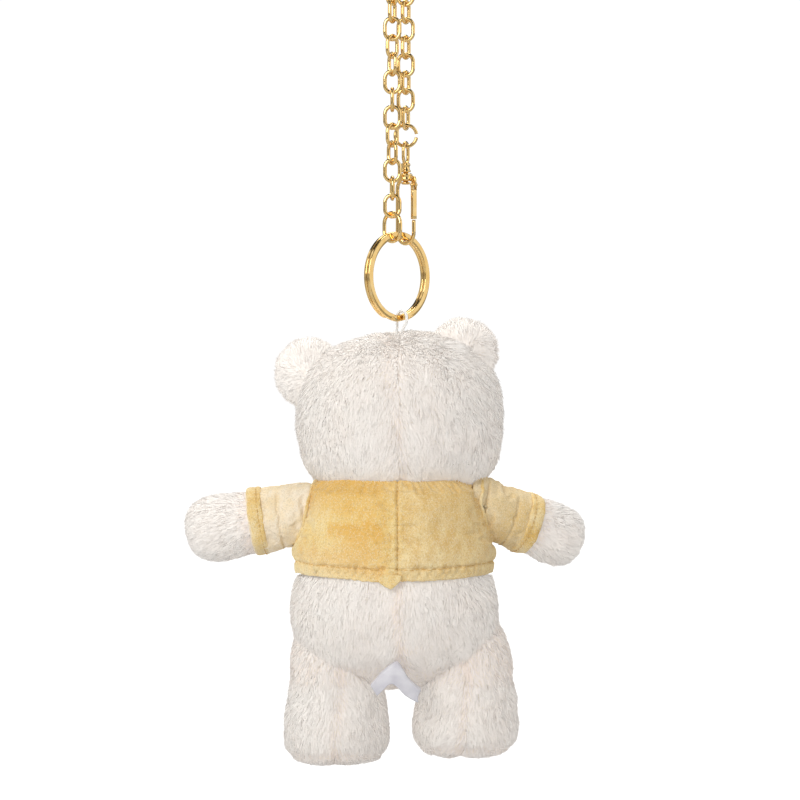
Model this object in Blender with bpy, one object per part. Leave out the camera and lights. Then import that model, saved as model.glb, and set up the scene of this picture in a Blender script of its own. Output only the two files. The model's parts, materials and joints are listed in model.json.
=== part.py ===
"""Plush bear keychain: a stuffed bear in a short shirt, hung by a cord loop from a split key ring,
which hangs from a doubled cable chain that ends in a swivel snap hook.

Millimetres below become metres where a mesh is made. +Z is up and the bear's back faces -Y.
The origin is the point where a peg would hold the top of the doubled chain."""

import math

import bmesh
import bpy
from mathutils import Vector

for old in list(bpy.data.objects):
    bpy.data.objects.remove(old, do_unlink=True)

MM = 0.001

# Driving dimensions of the metalwork
RING_OUTER_DIAMETER = 30.0
RING_RADIAL = 2.2
RING_AXIAL = 2.6
RING_CHAMFER = 0.4
COIL_GAP = 0.1
RING_YAW = math.radians(47.4)
RING_CENTRE_U = -1.0
RING_CENTRE_Z = -100.5
WIRE = 1.15
LINK_LENGTH = 8.5
LINK_WIDTH = 6.2
PLAY = 0.3
STRAND_OFFSET = 3.3
HANG_DEPTH = 1.9
HOOK_WIRE = 1.3
HOOK_WIDTH = 8.6
END_LINK_WIDTH = 8.5
RING_CLEARANCE = 1.56

# Planes of the links, in degrees about Z from +X, from the top of each strand down
LEFT_YAWS = (47, 130, 70, 0, 50, 115, 0, 90, 0, 50, 120, 5, 95, 0)
RIGHT_YAWS = (47, -10, 65, 0, 65, 0, 65, 0, 70)
JUMP_RING_YAW = 10
EYE_YAW = 72

# The swivel snap hook
EYE_OPENING = 6.0
POST_RADIUS = 0.85
BARREL_RADIUS = 1.7
COLLAR_TOP_DROP = 9.6
COLLAR_HEIGHT = 2.6
COLLAR_RADIUS = 2.3
BORE_CLEARANCE = 0.35
RIVET_RADIUS = 1.5
RIVET_HEIGHT = 0.9
SHOULDER_DROP = 1.6
NOSE_RISE = 4.2
GATE_LENGTH = 11.4
GATE_THICK = 1.2
GATE_WIDE = 2.0
GATE_SLOT = 1.15
LUG_THICK = 0.8
PIN_RADIUS = 0.45
PIN_LENGTH = 3.0
PIN_CLEARANCE = 0.12
SPRING_LEAF = (0.3, 0.7, 2.2)

# The cord: its two ends meet a knot inside the head
CORD_DIAMETER = 1.0
CORD_ARC_RADIUS = 2.2
CORD_U = 1.4
CORD_HOLE = 1.9
CORD_ENTRY = Vector((0.0, 1.0, -120.9))
CORD_END_DROP = 6.5
KNOT_DROP = 8.7
KNOT_SIZE = (1.7, 2.6)
POCKET_DROP = 12.5
POCKET_RADIUS = 3.4

# The bear's fabric
PLUSH_WALL = 1.2
SHIRT_WALL = 1.2
SHIRT_LIFT = 0.8
GAP = 0.5

# The head and face. An ear is its name, its middle and its lean in degrees towards -X.
HEAD_CENTRE = Vector((0.0, 5.0, -145.6))
HEAD_HALF = Vector((34.4, 29.0, 27.0))
HEAD_POWER = 2.35
HEAD_DEPTH = 21.0
JOWL_HEIGHT = 31.0
JOWL_POWER = 2.8
EARS = (
    ("ear_left", Vector((-30.9, 5.0, -131.9)), 50),
    ("ear_right", Vector((22.9, 5.0, -125.0)), -38),
)
EAR_HEIGHT = 10.8
EAR_WIDTH = 11.2
EAR_THICK = 5.2
SNOUT = HEAD_CENTRE + Vector((0, 24, -8))
SNOUT_AXIS = Vector((0, 1, -0.1))
SNOUT_HALF = (13.5, 10.0, 9.5)
NOSE_HALF = (4.6, 3.2, 1.7)
NOSE_PLACE = SNOUT + Vector((0, 9.9, 1.6))
EYE_PLACE = Vector((12.5, 28.4, 1.5))
EYE_RADIUS = 2.4
EYE_HEIGHT = 2.0

# The torso as (z, shift towards the front, half width, half depth), from the bottom up
TORSO = (
    (-237.6, 0.0, 4.5, 4.0),
    (-236.0, 0.0, 11.5, 10.0),
    (-232.5, 0.0, 20.5, 17.0),
    (-226.0, 0.3, 29.4, 23.0),
    (-217.5, 0.6, 33.6, 26.0),
    (-209.0, 0.6, 34.4, 26.6),
    (-202.5, 0.4, 32.2, 25.4),
    (-198.0, 0.2, 31.0, 24.6),
    (-189.0, 0.0, 30.4, 23.6),
    (-180.0, 0.0, 29.2, 22.2),
    (-173.0, 0.0, 26.2, 20.2),
    (-170.6, 0.0, 20.0, 15.6),
    (-167.6, 0.0, 15.0, 12.0),
)
TORSO_X = -1.2
SHIRT_HEM = -200.4
SHIRT_TOP = -172.0
SHIRT_HEM_HALF = (31.5, 25.0)
SHIRT_TOP_HALF = (26.0, 20.2)
TAB_SIZE = Vector((8.0, 1.0, 3.4))
TAB_PLACE = Vector((-3.0, -28.0, SHIRT_HEM - 0.9))

# The arms, keyed by side: -1 is towards -X. A row is (reach, shift, half height, half depth).
SHOULDER = {-1: Vector((-24.6, 0.0, -178.5)), 1: Vector((23.4, 0.0, -176.0))}
SHOULDER_RECESS = 13.6
ARMHOLE = 15.8
ARM = (
    (47.0, 0.0, 1.5, 1.5),
    (46.4, 0.0, 4.6, 4.4),
    (44.0, 0.0, 8.2, 7.8),
    (39.5, 0.0, 10.8, 10.0),
    (33.5, 0.0, 11.4, 10.6),
    (28.5, 0.0, 10.4, 10.0),
    (24.0, 0.0, 9.3, 9.0),
    (14.0, 0.0, 8.5, 8.4),
    (3.0, 0.0, 8.3, 8.3),
    (-2.5, 0.0, 7.6, 7.6),
)
SLEEVE = ((15.5, 0.0, 8.7, 8.6), (21.0, 0.0, 9.1, 8.9), (25.5, 0.0, 10.0, 9.8))
ARM_LENGTH = {-1: 1.0, 1: 0.94}
ARM_DROOP = {-1: 9.0, 1: 19.0}
ARM_FORWARD = {-1: 4.0, 1: 20.0}

# The legs. A row of the foot is (height over the hip, shift towards the toes, half width, half depth).
HIP = {-1: Vector((-20.8, 1.0, -226.7)), 1: Vector((22.3, 1.0, -226.7))}
HIP_RADIUS = 15.3
HIP_RECESS = 17.2
FOOT = (
    (-36.2, 7.0, 13.0, 17.5),
    (-35.0, 6.8, 15.6, 20.0),
    (-32.0, 6.0, 17.0, 21.4),
    (-26.0, 4.6, 17.6, 20.6),
    (-19.5, 2.8, 17.4, 18.0),
    (-15.0, 1.2, 15.6, 14.4),
)
FOOT_DROP = {-1: 1.0, 1: 0.93}

# The care label's strip, as (x, z) under its highest point
LABEL_TOP = Vector((0.0, -21.0, -229.0))
LABEL_BENDS = ((-7.6, -12.5), (-6.0, -6.5), (-3.2, -2.0), (0.0, 0.0), (3.8, -2.6), (6.4, -8.0), (7.4, -13.2))
LABEL_WIDTH = 3.2
LABEL_THICK = 0.35

PITCH = LINK_LENGTH - 2 * WIRE - PLAY
RING_MEAN = (RING_OUTER_DIAMETER - RING_RADIAL) / 2
ALONG = Vector((math.cos(RING_YAW), math.sin(RING_YAW), 0))
ACROSS = Vector((-math.sin(RING_YAW), math.cos(RING_YAW), 0))
UP = Vector((0, 0, 1))
STRAND_TOP_Z = HANG_DEPTH + (WIRE + PLAY) / 2

GOLD = ((0.86, 0.62, 0.25, 1), 0.2, 1.0)
PLUSH = ((0.86, 0.82, 0.77, 1), 0.95, 0.0)
FILL = ((0.93, 0.93, 0.92, 1), 0.9, 0.0)
VELOUR = ((0.87, 0.62, 0.2, 1), 0.8, 0.0)
SATIN = ((0.78, 0.77, 0.82, 1), 0.45, 0.0)
CORD = ((0.88, 0.88, 0.87, 1), 0.7, 0.0)
DARK = ((0.03, 0.025, 0.02, 1), 0.15, 0.0)
THREAD = ((0.12, 0.08, 0.06, 1), 0.7, 0.0)
STEEL = ((0.6, 0.6, 0.62, 1), 0.3, 1.0)


# ---------------------------------------------------------------- scene helpers
def empty_at(name, place, parent=None):
    """An axis marker for a moving body, at a point in millimetres."""
    empty = bpy.data.objects.new(name, None)
    bpy.context.collection.objects.link(empty)
    empty["place"] = tuple(place)
    base = Vector(parent["place"]) if parent else Vector((0, 0, 0))
    empty.parent = parent
    empty.location = (Vector(place) - base) * MM
    return empty


def dress(obj, finish):
    """Gives the object a material of its own."""
    colour, roughness, metallic = finish
    material = bpy.data.materials.new(obj.name)
    material.use_nodes = True
    shader = material.node_tree.nodes["Principled BSDF"]
    shader.inputs["Base Color"].default_value = colour
    shader.inputs["Roughness"].default_value = roughness
    shader.inputs["Metallic"].default_value = metallic
    obj.data.materials.append(material)


def add_mesh(name, points, faces, body, finish):
    """A closed mesh from points in millimetres, with its origin on the body's marker."""
    pivot = Vector(body["place"])
    mesh = bpy.data.meshes.new(name)
    mesh.from_pydata([(Vector(p) - pivot) * MM for p in points], [], faces)
    work = bmesh.new()
    work.from_mesh(mesh)
    bmesh.ops.recalc_face_normals(work, faces=work.faces)
    if work.calc_volume(signed=True) < 0:
        bmesh.ops.reverse_faces(work, faces=work.faces)
    work.to_mesh(mesh)
    work.free()
    mesh.shade_smooth()
    mesh.set_sharp_from_angle(angle=math.radians(40))
    obj = bpy.data.objects.new(name, mesh)
    bpy.context.collection.objects.link(obj)
    obj.parent = body
    if finish:
        dress(obj, finish)
    else:
        obj.hide_render = True
        obj.display_type = "WIRE"
    return obj


def boolean(obj, cutter, operation="DIFFERENCE"):
    """Applies one Boolean through a modifier that stays on the object."""
    modifier = obj.modifiers.new(cutter.name, "BOOLEAN")
    modifier.operation = operation
    modifier.object = cutter
    modifier.solver = "EXACT"
    return obj


# ---------------------------------------------------------------- shape helpers
def loft(rings, start_tip=None, end_tip=None, closed=False):
    """Points and faces through rings of equal count. A tip closes an end with a fan, or else a flat cap."""
    count = len(rings[0])
    points = [p for ring in rings for p in ring]
    faces = []
    rows = len(rings) if closed else len(rings) - 1
    for row in range(rows):
        a, b = row * count, (row + 1) % len(rings) * count
        for i in range(count):
            j = (i + 1) % count
            faces.append((a + i, a + j, b + j, b + i))
    if closed:
        return points, faces
    for tip, base in ((start_tip, 0), (end_tip, (len(rings) - 1) * count)):
        if tip is None:
            faces.append(tuple(range(base, base + count)))
            continue
        points.append(tip)
        faces += [(base + i, base + (i + 1) % count, len(points) - 1) for i in range(count)]
    return points, faces


def sweep(path, section, normal, closed):
    """Sweeps a flat section along a path that lies near a plane with this normal."""
    rings = []
    last = len(path) - 1
    for i, point in enumerate(path):
        before = path[i - 1] if closed or i else point
        after = path[(i + 1) % len(path)] if closed or i < last else point
        tangent = (after - before).normalized()
        side = normal.cross(tangent).normalized()
        rise = tangent.cross(side)
        rings.append([point + side * s + rise * r for s, r in section])
    return loft(rings, closed=closed)


def round_section(radius, sides=6):
    """The outline of a round wire."""
    turns = [2 * math.pi * (i + 0.5) / sides for i in range(sides)]
    return [(radius * math.cos(t), radius * math.sin(t)) for t in turns]


def stadium(length, width, per_end=6):
    """The centre line of an oval link, as (across, along) pairs."""
    radius = width / 2
    half = length / 2 - radius
    turns = [math.pi * i / per_end for i in range(per_end + 1)]
    top = [(radius * math.cos(t), half + radius * math.sin(t)) for t in turns]
    return top + [(-x, -y) for x, y in top]


def ball(name, centre, radius, body, segments=16, rings=8):
    """A round cutter."""
    levels = [math.pi * i / rings for i in range(1, rings)]
    turns = [2 * math.pi * i / segments for i in range(segments)]
    hoops = [
        [
            centre + Vector((math.sin(a) * math.cos(t), math.sin(a) * math.sin(t), math.cos(a))) * radius
            for t in turns
        ]
        for a in levels
    ]
    points, faces = loft(hoops, centre + UP * radius, centre - UP * radius)
    return add_mesh(name, points, faces, body, None)


def turned(name, base, axis, profile, body, finish, segments=14):
    """A body turned about an axis through base, from (along, radius) pairs, with flat ends."""
    axis = axis.normalized()
    side = axis.orthogonal().normalized()
    other = axis.cross(side)
    turns = [2 * math.pi * i / segments for i in range(segments)]
    hoops = [
        [base + axis * s + (side * math.cos(t) + other * math.sin(t)) * r for t in turns]
        for s, r in profile
    ]
    points, faces = loft(hoops)
    return add_mesh(name, points, faces, body, finish)


def dome(half, radius, start, stop, count, power=2.0):
    """(along, radius) pairs of a super-ellipse, from start to stop degrees off its tip."""
    pairs = []
    for i in range(count):
        angle = math.radians(start + (stop - start) * i / (count - 1))
        c, s = math.cos(angle), math.sin(angle)
        pairs.append(
            (math.copysign(abs(c) ** (2 / power), c) * half, abs(s) ** (2 / power) * radius)
        )
    return pairs


class Pad:
    """A stuffed fabric piece: rings along an axis, each (along, offset, width, depth) in millimetres."""

    def __init__(self, base, axis, across, sections, segments=18, power=2.0):
        self.base = base
        self.axis = axis.normalized()
        self.wide = (across - self.axis * across.dot(self.axis)).normalized()
        self.deep = self.axis.cross(self.wide)
        self.sections = sections
        self.segments = segments
        self.power = power

    def hoop(self, along, offset, width, depth):
        centre = self.base + self.axis * along + self.deep * offset
        ring = []
        for i in range(self.segments):
            turn = 2 * math.pi * i / self.segments
            c, s = math.cos(turn), math.sin(turn)
            x = math.copysign(abs(c) ** (2 / self.power), c) * width
            y = math.copysign(abs(s) ** (2 / self.power), s) * depth
            ring.append(centre + self.wide * x + self.deep * y)
        return ring

    def tip(self, along, offset):
        return self.base + self.axis * along + self.deep * offset

    def inset(self, depth):
        """The sections moved in by a depth, with the tip moved too and the open rim left."""
        first, last = self.sections[0][0], self.sections[-1][0]
        ease = (last - first - math.copysign(depth, last - first)) / (last - first)
        return [
            (last + (along - last) * ease, offset, width - depth, deep - depth)
            for along, offset, width, deep in self.sections
        ]

    def shell(self, name, body, finish, wall=PLUSH_WALL):
        """The skin: closed at its first section and open at its last."""
        outer, inner = self.sections, self.inset(wall)
        hoops = [self.hoop(*s) for s in outer] + [self.hoop(*s) for s in reversed(inner)]
        points, faces = loft(
            hoops, self.tip(*outer[0][:2]), self.tip(*inner[0][:2])
        )
        return add_mesh(name, points, faces, body, finish)

    def solid(self, name, body, finish, depth=0.0, stop=None):
        """A closed body, inset by a depth and ending at section number stop."""
        sections = self.inset(depth)[:stop] if depth else self.sections[:stop]
        hoops = [self.hoop(*s) for s in sections]
        points, faces = loft(hoops, self.tip(*sections[0][:2]))
        return add_mesh(name, points, faces, body, finish)

    def band(self, name, body, finish, lift, wall):
        """An open tube that follows the sections at a clearance of lift."""
        inner = [(a, o, w + lift, d + lift) for a, o, w, d in self.sections]
        outer = [(a, o, w + lift + wall, d + lift + wall) for a, o, w, d in self.sections]
        hoops = [self.hoop(*s) for s in inner] + [self.hoop(*s) for s in reversed(outer)]
        points, faces = loft(hoops, closed=True)
        return add_mesh(name, points, faces, body, finish)


# ---------------------------------------------------------------- the chain
def direction(yaw):
    """The unit vector at a yaw in degrees."""
    return Vector((math.cos(math.radians(yaw)), math.sin(math.radians(yaw)), 0))


def link(name, top, bottom, plane, body, length=LINK_LENGTH, width=LINK_WIDTH, wire=WIRE):
    """A closed oval link between two points of contact, lying in the plane that holds this direction."""
    down = (bottom - top).normalized()
    side = (plane - down * plane.dot(down)).normalized()
    centre = (top + bottom) / 2
    path = [centre + side * x - down * y for x, y in stadium(length - wire, width - wire)]
    points, faces = sweep(path, round_section(wire / 2), side.cross(down), True)
    return add_mesh(name, points, faces, body, GOLD)


def strand(side):
    """The contact points of one strand, from the top down."""
    start = ALONG * side * STRAND_OFFSET + UP * STRAND_TOP_Z
    return [start - UP * PITCH * i for i in range(len(LEFT_YAWS) + 1)]


def make_chain():
    """Both strands and the link that lies across the peg. Returns each strand's last marker."""
    root = empty_at("chain_top", (0, 0, 0))
    left, right = strand(-1), strand(1)
    level, reach = UP * HANG_DEPTH, ALONG * STRAND_OFFSET
    link("top_link", level + reach, level - reach, ACROSS, root, 2 * STRAND_OFFSET + WIRE)
    marker = root
    for i, yaw in enumerate(LEFT_YAWS):
        marker = empty_at(f"left_pivot_{i + 1:02d}", left[i], marker)
        link(f"left_link_{i + 1:02d}", left[i], left[i + 1], direction(yaw), marker)
    left_end = marker
    marker = root
    for i, yaw in enumerate(RIGHT_YAWS):
        marker = empty_at(f"right_pivot_{i + 1:02d}", right[i], marker)
        link(f"right_link_{i + 1:02d}", right[i], right[i + 1], direction(yaw), marker)
    return left_end, marker, left, right


def ring_section_z(u):
    """Height of the middle of the key ring's upper stretch at a place along ALONG."""
    return RING_CENTRE_Z + math.sqrt(RING_MEAN**2 - (u - RING_CENTRE_U) ** 2)


def make_end_link(parent, left):
    """The larger link that carries the key ring. Returns its marker."""
    pivot = left[len(LEFT_YAWS)]
    marker = empty_at("end_link_pivot", pivot, parent)
    top = pivot.z + PLAY / 2 + WIRE
    bottom = ring_section_z(-STRAND_OFFSET) - RING_CLEARANCE - WIRE
    middle = Vector((pivot.x, pivot.y, (top + bottom) / 2))
    link("end_link", middle + UP, middle - UP, ACROSS, marker, top - bottom, END_LINK_WIDTH)
    return marker


def make_jump_ring(parent, right):
    """The open ring that joins the right strand to the swivel, with its cut facing +X."""
    pivot = right[len(RIGHT_YAWS)]
    marker = empty_at("jump_ring_pivot", pivot, parent)
    centre = pivot - UP * PITCH / 2
    side = direction(JUMP_RING_YAW)
    radius = (LINK_LENGTH - WIRE) / 2
    gap = math.radians(9)
    turns = [gap + (2 * math.pi - 2 * gap) * i / 17 for i in range(18)]
    path = [centre + (side * math.cos(t) + UP * math.sin(t)) * radius for t in turns]
    points, faces = sweep(path, round_section(WIRE / 2), side.cross(UP), False)
    add_mesh("jump_ring", points, faces, marker, GOLD)
    return marker


# ---------------------------------------------------------------- the swivel snap hook
def make_eye(parent, pivot):
    """The swivel eye with its post, which turns in the hook's collar. Returns its marker and that height."""
    marker = empty_at("eye_pivot", pivot, parent)
    top = pivot.z + PLAY / 2 + WIRE
    length = EYE_OPENING + 2 * WIRE
    middle = Vector((pivot.x, pivot.y, top - length / 2))
    eye = link("swivel_eye", middle + UP, middle - UP, direction(EYE_YAW), marker, length)
    collar_top = pivot.z - COLLAR_TOP_DROP
    barrel_base = Vector((pivot.x, pivot.y, collar_top + PLAY))
    barrel_height = top - length + WIRE * 0.8 - barrel_base.z
    profile = [(0, BARREL_RADIUS), (barrel_height, BARREL_RADIUS)]
    boolean(eye, turned("eye_barrel", barrel_base, UP, profile, marker, None), "UNION")
    post_base = Vector((pivot.x, pivot.y, collar_top - COLLAR_HEIGHT - PLAY - RIVET_HEIGHT))
    post_height = barrel_base.z + 2 * PLAY - post_base.z
    profile = [(0, RIVET_RADIUS), (RIVET_HEIGHT, RIVET_RADIUS)]
    profile += [(RIVET_HEIGHT + 0.01, POST_RADIUS), (post_height, POST_RADIUS)]
    boolean(eye, turned("eye_post", post_base, UP, profile, marker, None), "UNION")
    return marker, collar_top


def pin_hole(name, hinge, body):
    """A cutter for the gate pin's hole."""
    radius = PIN_RADIUS + PIN_CLEARANCE
    profile = [(0, radius), (2 * PIN_LENGTH, radius)]
    return turned(name, hinge - ALONG * PIN_LENGTH, ALONG, profile, body, None, 10)


def make_hook(parent, pivot, collar_top):
    """The hook with its collar, gate, gate pin and gate spring. Its plane crosses the key ring."""
    centre = Vector((pivot.x, pivot.y, 0))
    marker = empty_at("hook_swivel", centre + UP * collar_top, parent)
    half = (HOOK_WIDTH - HOOK_WIRE) / 2
    bottom = ring_section_z(STRAND_OFFSET) - RING_CLEARANCE - HOOK_WIRE / 2
    collar_bottom = collar_top - COLLAR_HEIGHT
    bend = collar_bottom - SHOULDER_DROP
    nose = bottom + half + NOSE_RISE

    def at(across, z):
        return centre + ACROSS * across + UP * z

    path = [at(1.6, collar_top - 1.3), at(2.9, bend + 1.3), at(half, bend - 0.4)]
    path += [at(half, bend - 5.0), at(half, bottom + half + 3.0)]
    turns = [math.pi * i / 8 for i in range(9)]
    path += [at(half * math.cos(t), bottom + half - half * math.sin(t)) for t in turns]
    path.append(at(-half, nose))
    points, faces = sweep(path, round_section(HOOK_WIRE / 2, 8), ALONG, False)
    hook = add_mesh("hook_body", points, faces, marker, GOLD)
    profile = [(0, COLLAR_RADIUS), (COLLAR_HEIGHT, COLLAR_RADIUS)]
    collar = turned("hook_collar", at(0, collar_bottom), UP, profile, marker, None, 16)
    boolean(hook, collar, "UNION")

    pin_z = nose + GATE_LENGTH + PLAY
    hinge = at(-half, pin_z)
    lug_bottom, lug_top = pin_z - 0.85, collar_top - 0.15
    lug = box("hook_lug", at(-(half + COLLAR_RADIUS - 0.6) / 2, (lug_bottom + lug_top) / 2), ACROSS,
              half - COLLAR_RADIUS + 2.6, LUG_THICK, lug_top - lug_bottom, marker)
    boolean(hook, lug, "UNION")
    rivet_room = RIVET_RADIUS + PLAY
    bore_radius = POST_RADIUS + BORE_CLEARANCE
    profile = [(0, rivet_room), (SHOULDER_DROP, rivet_room)]
    profile += [(SHOULDER_DROP + 0.01, bore_radius), (COLLAR_HEIGHT + 2.2, bore_radius)]
    boolean(hook, turned("hook_bore", at(0, bend), UP, profile, marker, None, 16))
    boolean(hook, pin_hole("hook_pin_hole", hinge, marker))
    profile = [(0, PIN_RADIUS), (PIN_LENGTH, PIN_RADIUS)]
    turned("gate_pin", hinge - ALONG * PIN_LENGTH / 2, ALONG, profile, marker, GOLD, 10)
    box("gate_spring", at(-1.2, pin_z - 2.3), ACROSS, *SPRING_LEAF, marker, STEEL)

    gate_marker = empty_at("gate_pivot", hinge, marker)
    gate_bottom, gate_top = nose + PLAY, pin_z + 0.9
    middle = at(-half, (gate_bottom + gate_top) / 2)
    gate = box("gate", middle, ACROSS, GATE_THICK, GATE_WIDE, gate_top - gate_bottom, gate_marker, GOLD)
    boolean(gate, box("gate_slot", at(-half, pin_z + 0.2), ACROSS, 4.0, GATE_SLOT, 3.4, gate_marker))
    boolean(gate, pin_hole("gate_pin_hole", hinge, gate_marker))


def box(name, centre, across, wide, deep, high, body, finish=None):
    """A block: wide along across, deep along its horizontal normal, high along Z."""
    normal = across.cross(UP)
    corners = [(-1, -1), (1, -1), (1, 1), (-1, 1)]
    hoops = [
        [centre + across * x * wide / 2 + normal * y * deep / 2 + UP * z * high / 2 for x, y in corners]
        for z in (-1, 1)
    ]
    points, faces = loft(hoops)
    return add_mesh(name, points, faces, body, finish)


# ---------------------------------------------------------------- the key ring
def make_key_ring(parent):
    """A split ring: two flat coils side by side, joined by a short jog on the side away from the hook."""
    pivot = ALONG * -STRAND_OFFSET + UP * ring_section_z(-STRAND_OFFSET)
    marker = empty_at("ring_pivot", pivot, parent)
    centre = ALONG * RING_CENTRE_U + UP * RING_CENTRE_Z
    coil = (RING_AXIAL - COIL_GAP) / 2
    lane = (coil + COIL_GAP) / 2
    jog = math.radians(14)
    jog_at = math.radians(200)
    r, a, c = RING_RADIAL / 2, coil / 2, RING_CHAMFER
    path = []
    per_coil = 30
    for turn, side in ((0, -1), (1, 1)):
        for i in range(per_coil + 1):
            angle = jog_at + jog + (2 * math.pi - 2 * jog) * i / per_coil + turn * 2 * math.pi
            path.append((angle, side * lane))
    hoops = []
    for number, (angle, side) in enumerate(path):
        radial = ALONG * math.cos(angle) + UP * math.sin(angle)
        mid = centre + radial * RING_MEAN + ACROSS * side
        out = math.copysign(1, side)
        outline = [(-r, -out * a), (r, -out * a), (r, out * (a - c)), (r - c, out * a)]
        outline += [(-r + c, out * a), (-r, out * (a - c))]
        if side > 0:
            outline = [outline[1], outline[0], outline[5], outline[4], outline[3], outline[2]]
        hoops.append([mid + radial * x + ACROSS * y for x, y in outline])
    points, faces = loft(hoops)
    add_mesh("key_ring", points, faces, marker, GOLD)
    return marker


# ---------------------------------------------------------------- the cord loop
def smooth_points(route, count):
    """Evenly spaced points on a Catmull-Rom curve through the route."""
    dense = []
    padded = [route[0] * 2 - route[1]] + route + [route[-1] * 2 - route[-2]]
    for i in range(1, len(padded) - 2):
        p0, p1, p2, p3 = padded[i - 1 : i + 3]
        for k in range(40):
            t = k / 40
            dense.append(
                (p1 * 2 + (p2 - p0) * t + (p0 * 2 - p1 * 5 + p2 * 4 - p3) * t**2
                 + (p1 * 3 - p0 - p2 * 3 + p3) * t**3) * 0.5
            )
    dense.append(route[-1])
    steps = [(b - a).length for a, b in zip(dense, dense[1:])]
    total = sum(steps)
    points, run, k = [dense[0]], 0.0, 0
    for i in range(1, count - 1):
        target = total * i / (count - 1)
        while run + steps[k] < target:
            run += steps[k]
            k += 1
        points.append(dense[k].lerp(dense[k + 1], (target - run) / steps[k]))
    return points + [dense[-1]]


def cord_route(section):
    """The loop's route: out of the head, over the ring's lower stretch, and back into the head."""
    half = CORD_ARC_RADIUS
    turns = [math.pi * i / 6 for i in range(7)]
    over = [section + ACROSS * half * math.cos(t) + UP * half * math.sin(t) for t in turns]
    sides = {}
    for side in (1, -1):
        sides[side] = [
            section + ACROSS * side * half * 0.98 - UP * 1.4,
            CORD_ENTRY + ACROSS * side * 0.95 + UP * 1.6,
            CORD_ENTRY + ACROSS * side * 0.72 - UP * 0.6,
            CORD_ENTRY + ACROSS * side * 0.68 - UP * 3.2,
            CORD_ENTRY + ACROSS * side * 0.68 - UP * CORD_END_DROP,
        ]
    return list(reversed(sides[1])) + over + sides[-1]


def make_cord(body, section):
    """The white cord as a round tube."""
    points = smooth_points(cord_route(section), 20)
    pivot = Vector(body["place"])
    curve = bpy.data.curves.new("cord_loop", "CURVE")
    curve.dimensions = "3D"
    curve.bevel_depth = CORD_DIAMETER / 2 * MM
    curve.bevel_resolution = 2
    curve.use_fill_caps = True
    spline = curve.splines.new("POLY")
    spline.points.add(len(points) - 1)
    for slot, point in zip(spline.points, points):
        slot.co = (*((point - pivot) * MM), 1)
    obj = bpy.data.objects.new("cord_loop", curve)
    bpy.context.collection.objects.link(obj)
    obj.parent = body
    dress(obj, CORD)


# ---------------------------------------------------------------- the bear
def head_pad(lowest, spread, rise):
    """The head's form down to a depth under its middle, grown sideways by spread and in height by rise.
    Under its widest ring the head is deeper and squarer, where it rests on the shoulders."""
    pairs = dome(HEAD_HALF.z, 1.0, 14, 90, 7, HEAD_POWER)
    for i in range(1, 5):
        s = -lowest * i / 4
        pairs.append((s, (1 - (-s / JOWL_HEIGHT) ** JOWL_POWER) ** (1 / JOWL_POWER)))
    sections = [(s * rise, 0, HEAD_HALF.x * r + spread, HEAD_HALF.y * r + spread) for s, r in pairs]
    return Pad(HEAD_CENTRE, UP, Vector((1, 0, 0)), sections, 20, 2.25)


def cap(centre, axis, half, start, stop, count, segments, power=2.0):
    """A rounded form about an axis, with half its width, half its depth and its height."""
    wide, deep, high = half
    pairs = dome(high, 1.0, start, stop, count, power)
    return Pad(centre, axis, Vector((1, 0, 0)), [(s, 0, wide * r, deep * r) for s, r in pairs], segments)


def make_head(body):
    """The head: skin, filling, ears, muzzle, nose and eyes, with the knot that holds the cord."""
    head = head_pad(HEAD_DEPTH, 0.0, 1.0)
    skin = head.shell("head_skin", body, PLUSH)
    filling = head.solid("head_filling", body, FILL, PLUSH_WALL + GAP, 10)
    hole = turned("cord_hole", CORD_ENTRY - UP * 5, UP, [(0, CORD_HOLE), (12, CORD_HOLE)], body, None)
    profile = [(0, POCKET_RADIUS), (POCKET_DROP + 3, POCKET_RADIUS)]
    pocket = turned("knot_pocket", CORD_ENTRY - UP * POCKET_DROP, UP, profile, body, None)
    boolean(skin, hole)
    boolean(filling, pocket)
    profile = list(reversed(dome(*KNOT_SIZE, 20, 160, 6)))
    turned("cord_knot", CORD_ENTRY - UP * KNOT_DROP, UP, profile, body, CORD, 10)

    keep_out = head_pad(HEAD_DEPTH + 3, GAP, 1.016).solid("head_envelope", body, None)
    for name, place, lean in EARS:
        lean = math.radians(lean)
        rim = Vector((-math.sin(lean), 0, math.cos(lean)))
        pairs = dome(EAR_HEIGHT, 1.0, 12, 168, 9)
        sections = [(s, 0, EAR_THICK * r, EAR_WIDTH * r) for s, r in pairs]
        ear = Pad(place, rim, Vector((0, 1, 0)), sections, 14)
        boolean(ear.solid(name, body, PLUSH), keep_out)
    muzzle = cap(SNOUT, SNOUT_AXIS, SNOUT_HALF, 12, 150, 7, 16, 2.3)
    boolean(muzzle.solid("muzzle", body, PLUSH), keep_out)
    cap(NOSE_PLACE, SNOUT_AXIS, NOSE_HALF, 20, 90, 5, 14).solid("nose", body, THREAD)
    for side, name in ((-1, "eye_left"), (1, "eye_right")):
        place = HEAD_CENTRE + Vector((side * EYE_PLACE.x, EYE_PLACE.y, EYE_PLACE.z))
        outward = Vector((side * 0.3, 1, 0.05))
        eye = cap(place, outward, (EYE_RADIUS, EYE_RADIUS, EYE_HEIGHT), 20, 90, 5, 12)
        eye.solid(name, body, DARK)


def torso_pad(rows):
    """A form around the torso's axis, from rows like those of TORSO."""
    return Pad(Vector((TORSO_X, 0, 0)), UP, Vector((1, 0, 0)), rows, 20, 2.15)


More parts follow.
